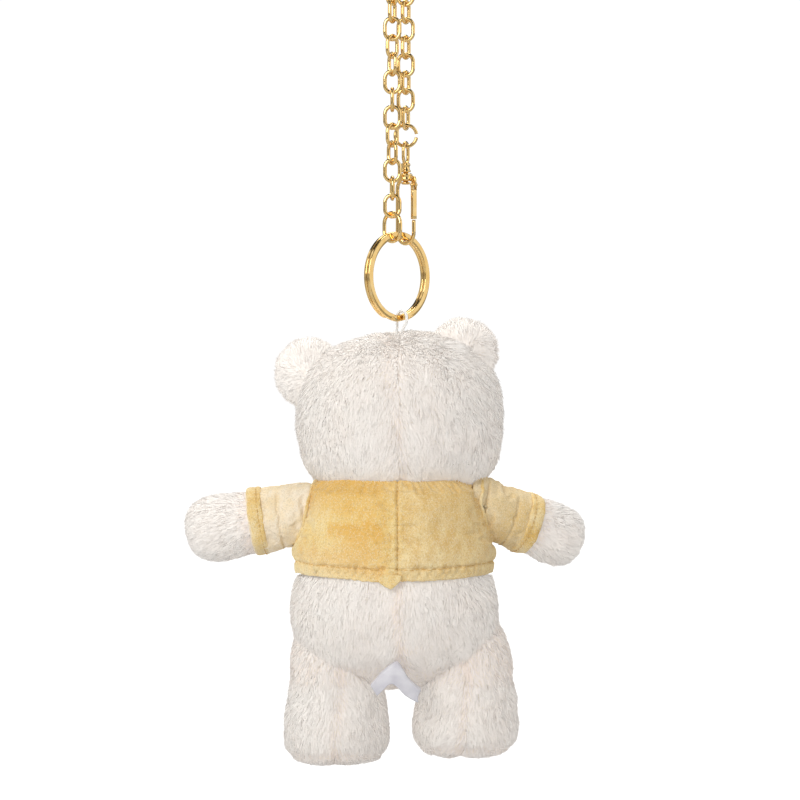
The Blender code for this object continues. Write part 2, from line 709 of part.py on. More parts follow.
def make_torso(body):
    """The torso skin and filling, with a recess for each limb, and the shirt around it."""
    torso = torso_pad(TORSO)
    skin = torso.shell("torso_skin", body, PLUSH)
    filling = torso.solid("torso_filling", body, FILL, PLUSH_WALL + GAP, 11)
    for side, name in ((-1, "left"), (1, "right")):
        for joint, place, radius in (
            ("shoulder", SHOULDER[side], SHOULDER_RECESS),
            ("hip", HIP[side], HIP_RECESS),
        ):
            recess = ball(f"{joint}_recess_{name}", place, radius, body)
            boolean(skin, recess)
            boolean(filling, recess)
    between = [row for row in TORSO if SHIRT_HEM < row[0] < SHIRT_TOP - 3]
    rows = [(SHIRT_HEM, 0.2, *SHIRT_HEM_HALF)] + between + [(SHIRT_TOP, 0.0, *SHIRT_TOP_HALF)]
    shirt = torso_pad(rows).band("shirt_body", body, VELOUR, SHIRT_LIFT, SHIRT_WALL)
    for side, name in ((-1, "left"), (1, "right")):
        boolean(shirt, ball(f"armhole_{name}", SHOULDER[side], ARMHOLE, body))
    box("closure_tab", TAB_PLACE, Vector((1, 0, 0)), *TAB_SIZE, body, VELOUR)


def make_arm(side, name, parent):
    """One arm with its sleeve. It lifts about a level axis through the shoulder."""
    base = SHOULDER[side]
    marker = empty_at(f"shoulder_{name}", base, parent)
    droop, forward = math.radians(ARM_DROOP[side]), math.radians(ARM_FORWARD[side])
    flat = math.cos(droop)
    reach = Vector((side * flat * math.cos(forward), flat * math.sin(forward), -math.sin(droop)))
    scale = ARM_LENGTH[side]
    arm = Pad(base, reach, UP, [(s * scale, o, w, d) for s, o, w, d in ARM], 16)
    arm.shell(f"arm_skin_{name}", marker, PLUSH)
    arm.solid(f"arm_filling_{name}", marker, FILL, PLUSH_WALL + GAP, 9)
    sleeve = Pad(base, reach, UP, [(s * scale, o, w, d) for s, o, w, d in SLEEVE], 16)
    sleeve.band(f"sleeve_{name}", marker, VELOUR, SHIRT_LIFT, SHIRT_WALL)


def make_leg(side, name, parent):
    """One leg with its sole, from the foot up to a ball about the hip. It swings about a level axis."""
    marker = empty_at(f"hip_{name}", HIP[side], parent)
    foot = [(s * FOOT_DROP[side], o, w, d) for s, o, w, d in FOOT]
    thigh = [(-s, 0.0, r, r) for s, r in dome(HIP_RADIUS, HIP_RADIUS, 52, 148, 6)]
    leg = Pad(HIP[side], UP, Vector((1, 0, 0)), foot + thigh, 16)
    leg.shell(f"leg_skin_{name}", marker, PLUSH)
    leg.solid(f"leg_filling_{name}", marker, FILL, PLUSH_WALL + GAP, 11)


def make_label(body):
    """The blank care label: a strip folded over into a loop, sewn into the back seam between the legs."""
    hoops = []
    for x, z in LABEL_BENDS:
        near = LABEL_TOP + Vector((x, z * 0.10, z))
        low = Vector((x * -0.02, 0, -LABEL_WIDTH))
        deep = Vector((0, LABEL_THICK, 0))
        hoops.append([near, near + low, near + low + deep, near + deep])
    points, faces = loft(hoops)
    add_mesh("care_label", points, faces, body, SATIN)


def main():
    left_end, right_end, left, right = make_chain()
    end_marker = make_end_link(left_end, left)
    jump_marker = make_jump_ring(right_end, right)
    eye_pivot = right[len(RIGHT_YAWS) + 1]
    eye_marker, collar_top = make_eye(jump_marker, eye_pivot)
    make_hook(eye_marker, eye_pivot, collar_top)
    ring_marker = make_key_ring(end_marker)
    lower = RING_CENTRE_Z - math.sqrt(RING_MEAN**2 - (CORD_U - RING_CENTRE_U) ** 2)
    section = ALONG * CORD_U + UP * lower
    bear = empty_at("bear_swing", section, ring_marker)
    make_cord(bear, section)
    make_head(bear)
    make_torso(bear)
    for side, name in ((-1, "left"), (1, "right")):
        make_arm(side, name, bear)
        make_leg(side, name, bear)
    make_label(bear)


main()
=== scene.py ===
import itertools
import json
import math

import bpy
import numpy as np
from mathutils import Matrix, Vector

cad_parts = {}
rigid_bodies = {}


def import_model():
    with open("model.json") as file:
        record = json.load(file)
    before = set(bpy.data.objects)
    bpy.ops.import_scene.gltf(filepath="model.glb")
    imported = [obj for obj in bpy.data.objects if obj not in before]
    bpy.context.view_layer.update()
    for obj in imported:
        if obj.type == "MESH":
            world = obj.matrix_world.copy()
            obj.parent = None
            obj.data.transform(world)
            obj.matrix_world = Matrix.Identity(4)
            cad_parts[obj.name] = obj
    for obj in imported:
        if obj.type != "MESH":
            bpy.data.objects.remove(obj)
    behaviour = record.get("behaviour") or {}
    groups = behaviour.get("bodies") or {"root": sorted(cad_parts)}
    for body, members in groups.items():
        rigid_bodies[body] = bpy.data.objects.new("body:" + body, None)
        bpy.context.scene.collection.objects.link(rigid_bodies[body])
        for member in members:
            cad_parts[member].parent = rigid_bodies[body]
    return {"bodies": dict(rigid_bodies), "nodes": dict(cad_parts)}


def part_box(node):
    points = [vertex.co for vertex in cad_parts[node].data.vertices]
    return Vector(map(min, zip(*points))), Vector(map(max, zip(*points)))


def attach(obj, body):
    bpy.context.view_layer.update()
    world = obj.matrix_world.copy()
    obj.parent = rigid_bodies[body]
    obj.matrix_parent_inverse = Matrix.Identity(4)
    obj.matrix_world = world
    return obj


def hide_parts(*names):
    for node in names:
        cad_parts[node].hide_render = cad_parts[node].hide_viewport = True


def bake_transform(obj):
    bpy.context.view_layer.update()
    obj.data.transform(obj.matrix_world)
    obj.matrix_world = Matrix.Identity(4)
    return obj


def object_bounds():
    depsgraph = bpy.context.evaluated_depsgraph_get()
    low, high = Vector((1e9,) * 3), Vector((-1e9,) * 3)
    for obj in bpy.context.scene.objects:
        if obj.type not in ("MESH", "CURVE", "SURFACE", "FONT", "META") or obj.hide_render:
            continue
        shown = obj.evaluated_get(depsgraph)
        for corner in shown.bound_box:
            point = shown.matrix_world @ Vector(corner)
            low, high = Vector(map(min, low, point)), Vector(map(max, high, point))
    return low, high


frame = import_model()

# Looks of the plush bear keychain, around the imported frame. Lengths are in metres, worked out from
# millimetres through MM. +Z is up and the bear's back faces -Y, towards the camera.
MM = 0.001
UP = Vector((0, 0, 1))
SIDEWAYS = Vector((1, 0, 0))
FORWARD = Vector((0, 1, 0))
cad_low, cad_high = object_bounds()

# Camera
VIEW_WIDTH = 266.67 * MM
VIEW_CENTRE = Vector((0.33, 0.0, -141.64)) * MM
VIEW_DISTANCE = 2.0
SENSOR = 36.0

# Metalwork
RING_YAW = math.radians(47.4)
ALONG = Vector((math.cos(RING_YAW), math.sin(RING_YAW), 0))
ACROSS = Vector((-math.sin(RING_YAW), math.cos(RING_YAW), 0))

LINK_WIRE = 1.28 * MM

# Cord: the same route as the CAD cord
CORD_DIAMETER = 1.0 * MM
CORD_ARC_RADIUS = 2.2 * MM
CORD_U = 1.4 * MM
CORD_ENTRY = Vector((0.0, 1.0, -120.9)) * MM
CORD_END_DROP = 6.5 * MM
RING_CENTRE_U = -1.0 * MM
RING_CENTRE_Z = -100.5 * MM
RING_MEAN = 13.9 * MM

# Plush
PILE = 3.4 * MM
INSET = 2.1 * MM
FIBRE = 0.27 * MM
ROUND = 2.15

# The studio that the metal mirrors: grey panels from its left (0) to its right (1)
STUDIO_PANELS = ((0.0, 0.6), (0.10, 0.9), (0.15, 1.5), (0.19, 0.10), (0.33, 0.04), (0.39, 0.55), (0.45, 0.8),
                 (0.51, 1.5), (0.56, 0.35), (0.60, 0.04), (0.76, 0.05), (0.81, 0.7), (0.88, 1.4), (1.0, 1.25))


# ---------------------------------------------------------------- camera, light and stage
def make_camera():
    data = bpy.data.cameras.new("camera")
    data.sensor_width = SENSOR
    data.lens = SENSOR * VIEW_DISTANCE / VIEW_WIDTH
    data.clip_end = 50
    camera = bpy.data.objects.new("camera", data)
    camera.location = VIEW_CENTRE - FORWARD * VIEW_DISTANCE
    camera.rotation_euler = (math.pi / 2, 0, 0)
    bpy.context.collection.objects.link(camera)
    bpy.context.scene.camera = camera


def make_lamp(name, place, size, power, colour):
    data = bpy.data.lights.new(name, "AREA")
    data.shape = "RECTANGLE"
    data.size, data.size_y = size
    data.energy = power
    data.color = colour
    lamp = bpy.data.objects.new(name, data)
    lamp.location = VIEW_CENTRE + Vector(place)
    lamp.rotation_euler = Vector(place).to_track_quat("Z", "Y").to_euler()
    bpy.context.collection.objects.link(lamp)


def make_world():
    """White behind the object, and round it a studio of bright and dark panels for the metal to mirror."""
    world = bpy.data.worlds.new("studio")
    world.use_nodes = True
    world.node_tree.nodes.clear()
    tree = Tree(world.node_tree)
    place = tree.node("TexCoord").outputs["Generated"]
    sideways = tree.node("SeparateXYZ", ("Vector", place)).outputs["X"]
    panels = [(place, (grey, grey * 0.985, grey * 0.96)) for place, grey in STUDIO_PANELS]
    colour = tree.ramp(tree.fit(sideways, 0.0, 1.0, -1.0), *panels)
    studio = tree.node("Background", ("Color", colour), Strength=0.8).outputs[0]
    white = tree.node("Background", Color=(1, 1, 1, 1), Strength=1.05).outputs[0]
    seen = tree.node("LightPath").outputs["Is Camera Ray"]
    mix = tree.node("MixShader", (0, seen), (1, studio), (2, white)).outputs[0]
    tree.node("OutputWorld", ("Surface", mix))
    bpy.context.scene.world = world


def make_stage():
    """A pale floor under the hanging bear."""
    half = 14.0
    level = cad_low.z - 40 * MM
    corners = [(-half, -half, level), (half, -half, level), (half, half, level), (-half, half, level)]
    mesh = bpy.data.meshes.new("floor")
    mesh.from_pydata(corners, [], [(0, 1, 2, 3)])
    floor = bpy.data.objects.new("floor", mesh)
    bpy.context.collection.objects.link(floor)
    finish = Finish("stage_white", (0.55, 0.55, 0.55), 0.95)
    finish.shader.inputs["Emission Color"].default_value = (1, 1, 1, 1)
    seen = finish.nodes.new("ShaderNodeLightPath").outputs["Is Camera Ray"]
    finish.links.new(finish.fit(seen, 0.12, 1.0), finish.shader.inputs["Emission Strength"])
    mesh.materials.append(finish.material)


class Tree:
    """Short calls to add nodes to a node tree."""

    def __init__(self, tree):
        self.nodes, self.links = tree.nodes, tree.links

    def node(self, kind, *wired, **values):
        """Adds a node: wired holds (input, socket) pairs. Values in lower case are properties."""
        node = self.nodes.new("ShaderNode" + kind)
        for key, value in values.items():
            if key.islower():
                setattr(node, key, value)
            else:
                node.inputs[key.replace("_", " ")].default_value = value
        for key, socket in wired:
            self.links.new(socket, node.inputs[key])
        return node

    def ramp(self, grey, *stops):
        """A colour ramp through (position, colour) stops."""
        node = self.node("ValToRGB", ("Fac", grey))
        elements = node.color_ramp.elements
        while len(elements) < len(stops):
            elements.new(0.5)
        for element, (position, colour) in zip(elements, stops):
            element.position = position
            element.color = (*colour, 1)
        return node.outputs[0]

    def mix(self, factor, a, b, blend="MIX"):
        node = self.node("MixRGB", blend_type=blend)
        for socket, value in zip(node.inputs, (factor, a, b)):
            if isinstance(value, bpy.types.NodeSocket):
                self.links.new(value, socket)
            else:
                socket.default_value = (*value, 1) if isinstance(value, tuple) else value
        return node.outputs[0]

    def fit(self, grey, low, high, start=0.0, stop=1.0):
        """A grey value carried from one range to another."""
        return self.node("MapRange", ("Value", grey), From_Min=start, From_Max=stop, To_Min=low,
                         To_Max=high).outputs[0]


# ---------------------------------------------------------------- materials
class Finish(Tree):
    """A Principled material."""

    def __init__(self, name, colour, roughness, metallic=0.0, **sockets):
        self.material = bpy.data.materials.new(name)
        self.material.use_nodes = True
        self.material.diffuse_color = (*colour, 1)
        super().__init__(self.material.node_tree)
        self.shader = self.nodes["Principled BSDF"]
        sockets.update(Base_Color=(*colour, 1), Roughness=roughness, Metallic=metallic)
        for socket, value in sockets.items():
            self.shader.inputs[socket.replace("_", " ")].default_value = value
        self.place = self.node("TexCoord").outputs["Object"]

    def noise(self, scale, detail=3.0, stretch=(1, 1, 1), roughness=0.55):
        """A grey noise with this many features in a metre."""
        place = self.node("Mapping", ("Vector", self.place), Scale=stretch).outputs[0]
        return self.node("TexNoise", ("Vector", place), Scale=scale, Detail=detail,
                         Roughness=roughness).outputs[0]

    def wire(self, colour, rough=None, height=None, depth=0.0, strength=1.0):
        """Wires the colour, roughness and bump, which is depth millimetres deep, and gives the material."""
        self.links.new(colour, self.shader.inputs["Base Color"])
        if rough:
            self.links.new(rough, self.shader.inputs["Roughness"])
        if height:
            bump = self.node("Bump", ("Height", height), Strength=strength, Distance=depth * MM)
            self.links.new(bump.outputs[0], self.shader.inputs["Normal"])
        return self.material


def gold_finish():
    """Polished light gold plating: faint cloudiness, slightly lighter patches at random, and hairline
    scratches.
    """
    finish = Finish("gold_plate", (0.86, 0.60, 0.24), 0.09, 1.0)
    tone = finish.ramp(finish.noise(300, 2), (0.3, (0.82, 0.54, 0.19)), (0.6, (0.87, 0.62, 0.27)),
                       (0.8, (0.91, 0.70, 0.37)))
    scratch = finish.noise(2600, 4, (1, 1, 0.12))
    return finish.wire(tone, finish.fit(scratch, 0.04, 0.10, 0.35, 0.7), scratch, 0.001, 0.02)


def steel_finish():
    finish = Finish("spring_steel", (0.55, 0.55, 0.57), 0.3, 1.0)
    grain = finish.noise(3000, 3, (1, 1, 0.1))
    tone = finish.ramp(finish.noise(600), (0.3, (0.46, 0.46, 0.49)), (0.7, (0.64, 0.64, 0.66)))
    return finish.wire(tone, finish.fit(grain, 0.2, 0.42), grain, 0.004, 0.4)


def plush_finish():
    """The knitted backing and the dense underfur that show between the tufts. It glows faintly: painted light
    for the light scattered through the pile.
    """
    # painted light: the backing's faint emission stands in for light scattered through the pile
    finish = Finish("plush_backing", (0.83, 0.78, 0.72), 0.95, Sheen_Weight=0.4, Sheen_Roughness=0.5,
                    Emission_Strength=0.17, Emission_Color=(0.9, 0.84, 0.79, 1))
    fine = finish.noise(1500, 4, (1, 1, 0.35))
    tone = finish.ramp(finish.noise(70), (0.3, (0.88, 0.80, 0.74)), (0.55, (0.91, 0.86, 0.82)),
                       (0.75, (0.93, 0.90, 0.87)))
    return finish.wire(finish.mix(finish.fit(fine, 0.0, 0.4, 0.3, 0.7), tone, (0.82, 0.72, 0.65)), None,
                       fine, 0.3, 0.8)


def fur_finishes():
    """The fibres' colours: three tones from the brightest down, mixed at random, and a fourth, darker and
    warmer, that is painted shade for seams, creases and undersides. All of them glow faintly, painted light
    for the light scattered through the pile.
    """
    # the fourth tone is painted shade: darker and warmer, for seams, creases and undersides
    tones = {"white": (0.94, 0.91, 0.875), "cream": (0.925, 0.885, 0.845), "ivory": (0.90, 0.85, 0.805),
             "crease_shade": (0.92, 0.83, 0.765)}
    # painted light: each fibre glows faintly through emission, standing in for light scattered through the
    # pile
    return [Finish("fur_" + name, tone, 0.85, Sheen_Weight=0.35, Sheen_Roughness=0.4, Emission_Strength=0.21,
                   Emission_Color=(*tone, 1)).material for name, tone in tones.items()]


def velour_finish(name, deep, middle, pale, shift, shade=None):
    """Knitted velour: its pile shows deep or pale by the way that it leans, in loops along fine ribs, whose
    crowns carry a painted highlight. shade, if given, is painted shade: the duller colour right of the back
    seam, away from the key lamp, with a painted deep patch at the upper left and a painted pale patch at the
    lower left."""
    finish = Finish(name, middle, 0.72, Sheen_Weight=0.55, Sheen_Roughness=0.35,
                    Sheen_Tint=(1.0, 0.9, 0.68, 1))
    lean = finish.noise(34 + shift, 2.0, (0.8, 1, 1.8))
    patch = finish.noise(210 + shift, 3.0, (1.4, 1.4, 0.9))
    place = finish.node("Mapping", ("Vector", finish.place), Scale=(1.15, 1.15, 0.8)).outputs[0]
    loops = finish.node("TexVoronoi", ("Vector", place), Scale=1750.0, Randomness=0.85).outputs["Distance"]
    speck = finish.noise(2300, 2.0, (1.0, 1.0, 0.75), 0.7)
    base = finish.ramp(finish.mix(0.35, lean, patch), (0.38, deep), (0.5, middle), (0.66, pale))
    if shade:
        apart = finish.node("SeparateXYZ", ("Vector", finish.place)).outputs

        def across(axis, low, high, start, stop):
            return finish.fit(apart[axis], low, high, start * MM, stop * MM)

        # painted shade: the right half of the back, away from the key lamp, takes a duller colour
        right = finish.ramp(patch, (0.35, shade), (0.7, (0.84, 0.66, 0.34)))
        base = finish.mix(across("X", 0.0, 0.85, -3.5, 4.0), base, right)
        # painted shade: a deep patch at the upper left, by the neckline
        corner = finish.mix(1.0, across("Z", 0.0, 0.85, -183, -172), across("X", 0.25, 1.0, 1, -7),
                            "MULTIPLY")
        base = finish.mix(corner, base, deep)
        # painted highlight: a pale patch at the lower left
        lit_patch = finish.mix(1.0, across("Z", 0.6, 0.0, -200, -184), across("X", 1.0, 0.3, -26, -4), "MULTIPLY")
        base = finish.mix(lit_patch, base, pale)
    # the knit's loops are real; the near-white on their crowns is painted highlight
    bright = tuple(0.45 * c + 0.55 * w for c, w in zip(pale, (1.0, 0.95, 0.82)))
    base = finish.mix(finish.fit(loops, 0.7, 0.0, 0.04, 0.46), base, bright)
    base = finish.mix(finish.fit(speck, 0.55, 0.0, 0.3, 0.5), base, tuple(c * 0.62 for c in deep))
    height = finish.mix(0.5, speck, finish.fit(loops, 1.0, 0.0, 0.0, 0.6))
    return finish.wire(base, finish.fit(speck, 0.62, 0.86), height, 0.25, 0.9)


def thread_finish(name, colour, shade):
    finish = Finish(name, colour, 0.6, Sheen_Weight=0.3, Sheen_Roughness=0.4)
    strands = finish.noise(5200, 2)
    return finish.wire(finish.ramp(strands, (0.35, shade), (0.65, colour)), None, strands, 0.05, 0.7)


def satin_finish():
    """The blank care label's woven satin."""
    finish = Finish("label_satin", (0.80, 0.79, 0.84), 0.38, Sheen_Weight=0.25, Sheen_Roughness=0.3)
    weave = finish.node("TexWave", ("Vector", finish.place), wave_type="BANDS", bands_direction="DIAGONAL",
                        Scale=1500.0, Distortion=0.6, Detail=1.0).outputs["Fac"]
    tone = finish.ramp(finish.noise(240, 2), (0.3, (0.60, 0.59, 0.65)), (0.7, (0.72, 0.715, 0.76)))
    return finish.wire(tone, finish.fit(weave, 0.3, 0.5), weave, 0.02, 0.5)


def cord_finish():
    finish = Finish("cord_white", (0.88, 0.88, 0.87), 0.7, Sheen_Weight=0.3, Sheen_Roughness=0.4)
    fibre = finish.noise(4200, 3, (1, 1, 0.3))
    tone = finish.ramp(fibre, (0.3, (0.78, 0.78, 0.77)), (0.6, (0.93, 0.93, 0.92)))
    return finish.wire(tone, None, fibre, 0.05, 0.6)


def bead_finish():
    """Glossy dark bead with a faint brown depth."""
    finish = Finish("bead_dark", (0.02, 0.014, 0.01), 0.07, Coat_Weight=0.6, Coat_Roughness=0.04)
    tone = finish.ramp(finish.noise(700, 2), (0.35, (0.012, 0.008, 0.006)), (0.7, (0.035, 0.022, 0.014)))
    return finish.wire(tone, finish.fit(finish.noise(2500, 2), 0.05, 0.12))


# ---------------------------------------------------------------- mesh helpers
def new_object(name, points, faces, material):
    mesh = bpy.data.meshes.new(name)
    mesh.from_pydata([tuple(p) for p in points], [], faces)
    mesh.validate()
    obj = bpy.data.objects.new(name, mesh)
    bpy.context.collection.objects.link(obj)
    if material:
        mesh.materials.append(material)
    mesh.shade_smooth()
    return obj


def loft(rings, closed=False, start_tip=None, end_tip=None, caps=True):
    """Points and faces through rings of equal count. closed joins the last ring to the first."""
    count = len(rings[0])
    points = [p for ring in rings for p in ring]
    faces = []
    for row in range(len(rings) if closed else len(rings) - 1):
        a, b = row * count, (row + 1) % len(rings) * count
        faces += [(a + i, a + (i + 1) % count, b + (i + 1) % count, b + i) for i in range(count)]
    if closed or not caps:
        return points, faces
    for tip, base, turn in ((start_tip, 0, -1), (end_tip, (len(rings) - 1) * count, 1)):
        if tip is None:
            faces.append(tuple(range(base, base + count))[::turn])
            continue
        points.append(tip)
        faces += [(base + i, base + (i + 1) % count, len(points) - 1)[::turn] for i in range(count)]
    return points, faces


def merge(parts):
    """One list of points and faces from several."""
    points, faces = [], []
    for some, more in parts:
        faces += [tuple(i + len(points) for i in face) for face in more]
        points += some
    return points, faces


def round_outline(radius, sides=14):
    turns = [2 * math.pi * i / sides for i in range(sides)]
    return [(radius * math.cos(t), radius * math.sin(t)) for t in turns]


def box_outline(wide, high, radius, steps=4):
    """A rectangle with round corners."""
    points = []
    for corner, (sx, sy) in enumerate(((1, 1), (-1, 1), (-1, -1), (1, -1))):
        for i in range(steps + 1):
            turn = math.pi / 2 * (corner + i / steps)
            points.append((sx * (wide / 2 - radius) + radius * math.cos(turn),
                           sy * (high / 2 - radius) + radius * math.sin(turn)))
    return points


def sweep(path, outline, normal, closed=False):
    """An outline carried along a path. Its first coordinate lies along normal x tangent."""
    rings = []
    last = len(path) - 1
    for i, point in enumerate(path):
        before = path[i - 1] if closed or i else point
        after = path[(i + 1) % len(path)] if closed or i < last else point
        tangent = (after - before).normalized()
        side = normal.cross(tangent).normalized()
        rise = tangent.cross(side)
        rings.append([point + side * s + rise * r for s, r in outline])
    return loft(rings, closed=closed)


def stadium(length, width, per_end=14):
    """The centre line of an oval link, as (across, along) pairs."""
    radius = width / 2
    half = length / 2 - radius
    turns = [math.pi * i / per_end for i in range(per_end + 1)]
    top = [(radius * math.cos(t), half + radius * math.sin(t)) for t in turns]
    straight = [(-radius, half * (1 - 2 * i / 6)) for i in range(1, 6)]
    side = top + straight
    return side + [(-x, -y) for x, y in side]


def turned(base, axis, profile, segments=32):
    """Points and faces turned about an axis through base, from (along, radius) pairs."""
    axis = axis.normalized()
    side = axis.orthogonal().normalized()
    other = axis.cross(side)
    turns = [2 * math.pi * i / segments for i in range(segments)]
    return loft([[base + axis * s + (side * math.cos(t) + other * math.sin(t)) * r for t in turns]
                 for s, r in profile])


def smooth_points(route, count):
    """Evenly spaced points on a Catmull-Rom curve through the route."""
    dense = []
    padded = [route[0] * 2 - route[1]] + route + [route[-1] * 2 - route[-2]]
    for i in range(1, len(padded) - 2):
        p0, p1, p2, p3 = padded[i - 1 : i + 3]
        for k in range(40):
            t = k / 40
            dense.append((p1 * 2 + (p2 - p0) * t + (p0 * 2 - p1 * 5 + p2 * 4 - p3) * t**2
                          + (p1 * 3 - p0 - p2 * 3 + p3) * t**3) * 0.5)
    dense.append(route[-1])
    steps = [(b - a).length for a, b in zip(dense, dense[1:])]
    total = sum(steps)
    points, run, k = [dense[0]], 0.0, 0
    for i in range(1, count - 1):
        target = total * i / (count - 1)
        while run + steps[k] < target:
            run += steps[k]
            k += 1
        points.append(dense[k].lerp(dense[k + 1], (target - run) / steps[k]))
    return points + [dense[-1]], total


def lattice_noise(points, size, seed):
    """Smooth noise from -1 to 1 at each point, with features about size across."""
    table = np.random.default_rng(seed).uniform(-1, 1, (16, 16, 16))
    place = np.asarray(points) / size + 100
    base = np.floor(place).astype(int)
    part = place - base
    part = part * part * (3 - 2 * part)
    total = np.zeros(len(place))
    for corner in itertools.product((0, 1), repeat=3):
        weight = np.prod(np.where(corner, part, 1 - part), axis=1)
        index = (base + corner) % 16
        total += weight * table[index[:, 0], index[:, 1], index[:, 2]]
    return total


def noise_on(grid, size, seed):
    """Smooth noise over a grid of points, with features about size millimetres across."""
    return lattice_noise(grid.reshape(-1, 3), size * MM, seed).reshape(grid.shape[:2])


def coords_of(obj):
    found = np.empty(len(obj.data.vertices) * 3)
    obj.data.vertices.foreach_get("co", found)
    return found.reshape(-1, 3)


def set_coords(obj, found):
    obj.data.vertices.foreach_set("co", np.asarray(found, dtype=np.float32).ravel())
    obj.data.update()


def normals_of(obj):
    found = np.empty(len(obj.data.vertices) * 3)
    obj.data.vertices.foreach_get("normal", found)
    return found.reshape(-1, 3)


def node_points(name):
    """A CAD node's points at rest."""
    obj = frame["nodes"][name]
    return np.array([obj.matrix_world @ v.co for v in obj.data.vertices])


def flat_axes(points):
    """The widest and the thinnest level directions of a set of points."""
    level = points[:, :2] - (points[:, :2].min(0) + points[:, :2].max(0)) / 2
    values, vectors = np.linalg.eigh(level.T @ level)
    return Vector((*vectors[:, 1], 0)), Vector((*vectors[:, 0], 0))


def extent(points, direction):
    along = points @ np.array(direction)
    return along.min(), along.max()


def stand_in(obj, body, slot, *nodes):
    """The piece rides on a body and stands for these CAD nodes. slot is not used."""
    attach(obj, body)
    if nodes:
        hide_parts(*nodes)


# ---------------------------------------------------------------- the cord
def cord_route():
    """Out of the head, over the ring's lower stretch, and back into the head."""
    lower = RING_CENTRE_Z - math.sqrt(RING_MEAN**2 - (CORD_U - RING_CENTRE_U) ** 2)
    section = ALONG * CORD_U + UP * lower
    half = CORD_ARC_RADIUS
    turns = [math.pi * i / 6 for i in range(7)]
    over = [section + ACROSS * half * math.cos(t) + UP * half * math.sin(t) for t in turns]
    sides = {}
    for side in (1, -1):
        sides[side] = [
            section + ACROSS * side * half * 0.98 - UP * 1.4 * MM,
            CORD_ENTRY + (ACROSS * side * 0.95 + UP * 1.6) * MM,
            CORD_ENTRY + (ACROSS * side * 0.72 - UP * 0.6) * MM,
            CORD_ENTRY + (ACROSS * side * 0.68 - UP * 3.2) * MM,
            CORD_ENTRY + ACROSS * side * 0.68 * MM - UP * CORD_END_DROP,
        ]
    return list(reversed(sides[1])) + over + sides[-1]


def make_cord(material):
    """Three strands laid in a rope, and the knot in the head."""
    path, length = smooth_points(cord_route(), 150)
    strands, lay, steps = 3, 2.4 * MM, 24
    rings = []
    for i, point in enumerate(path):
        tangent = (path[min(i + 1, len(path) - 1)] - path[max(i - 1, 0)]).normalized()
        side = ALONG.cross(tangent).normalized()
        rise = tangent.cross(side)
        twist = 2 * math.pi * length * i / (len(path) - 1) / lay
        ring = []
        for k in range(steps):
            turn = 2 * math.pi * k / steps
            lobe = abs(math.cos(strands / 2 * (turn - twist / strands)))
            radius = CORD_DIAMETER / 2 * (0.80 + 0.20 * lobe)
            ring.append(point + side * math.cos(turn) * radius + rise * math.sin(turn) * radius)
        rings.append(ring)
    cord = new_object("cord_rope", *loft(rings), material)
    stand_in(cord, "bear", "white_cord", "cord_loop")
    low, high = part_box("cord_knot")
    half = (high.x - low.x) / 2 - CORD_DIAMETER * 0.6
    knot = []
    for i in range(96):
        turn = 2 * math.pi * i / 96
        wide = half * (0.72 + 0.28 * math.cos(3 * turn))
        knot.append((low + high) / 2 + Vector((wide * math.cos(2 * turn), wide * math.sin(2 * turn),
                                               0.9 * MM * math.sin(3 * turn))))
    tied = new_object("cord_knot_tied", *sweep(knot, round_outline(CORD_DIAMETER * 0.55, 12), UP,
                                               closed=True), material)
    stand_in(tied, "bear", "white_cord", "cord_knot")


# ---------------------------------------------------------------- the chain and the rings
def make_link(name, material):
    """A polished oval link in place of a CAD link, from that link's own size and turn."""
    points = node_points(name)
    low, high = points.min(0), points.max(0)
    centre = Vector((low + high) / 2)
    wide, thin = flat_axes(points)
    down, side = (wide, thin) if high[2] - low[2] < 2.5 * MM else (UP, wide)
    normal = side.cross(down)
    wire = float(np.ptp(extent(points, normal)))
    lost = wire * (1 - math.cos(math.pi / 6))
    length = float(np.ptp(extent(points, down))) + lost
    width = float(np.ptp(extent(points, side))) + lost
    wire = max(wire, min(LINK_WIRE, wire * 1.12))
    path = [centre + side * x + down * y for x, y in stadium(length - wire, width - wire)]
    return new_object(name + "_polished", *sweep(path, round_outline(wire / 2, 16), normal, closed=True),
                      material)


def body_of_link(name):
    """Links at the same height on the two strands share a body, down to the swivel's eye."""
    row = "chain_row_" + name[-2:]
    return row if row in frame["bodies"] else name.replace("top_link", "chain_top")


def make_chain(material):
    for name in ["top_link", "end_link"] + [n for n in frame["nodes"] if n.startswith(("left_link_",
                                                                                       "right_link_"))]:
        stand_in(make_link(name, material), body_of_link(name), "gold_metal", name)


def make_jump_ring(material):
    """The open ring, with its ends cut square."""
    points = node_points("jump_ring")
    low, high = points.min(0), points.max(0)
    wide, thin = flat_axes(points)
    if wide.x < 0:
        wide = -wide
    wire = float(np.ptp(extent(points, thin)))
    radius = float(high[2] - low[2]) / 2 - wire * 0.47
    centre = Vector((low + high) / 2)
    centre += wide * (extent(points, wide)[0] + radius + wire * 0.47 - centre.dot(wide))
    gap = math.radians(9)
    turns = [gap + (2 * math.pi - 2 * gap) * i / 72 for i in range(73)]
    path = [centre + (wide * math.cos(t) + UP * math.sin(t)) * radius for t in turns]
    ring = new_object("jump_ring_polished", *sweep(path, round_outline(wire / 2, 16), wide.cross(UP)),
                      material)
    stand_in(ring, "chain_row_10", "gold_metal", "jump_ring")


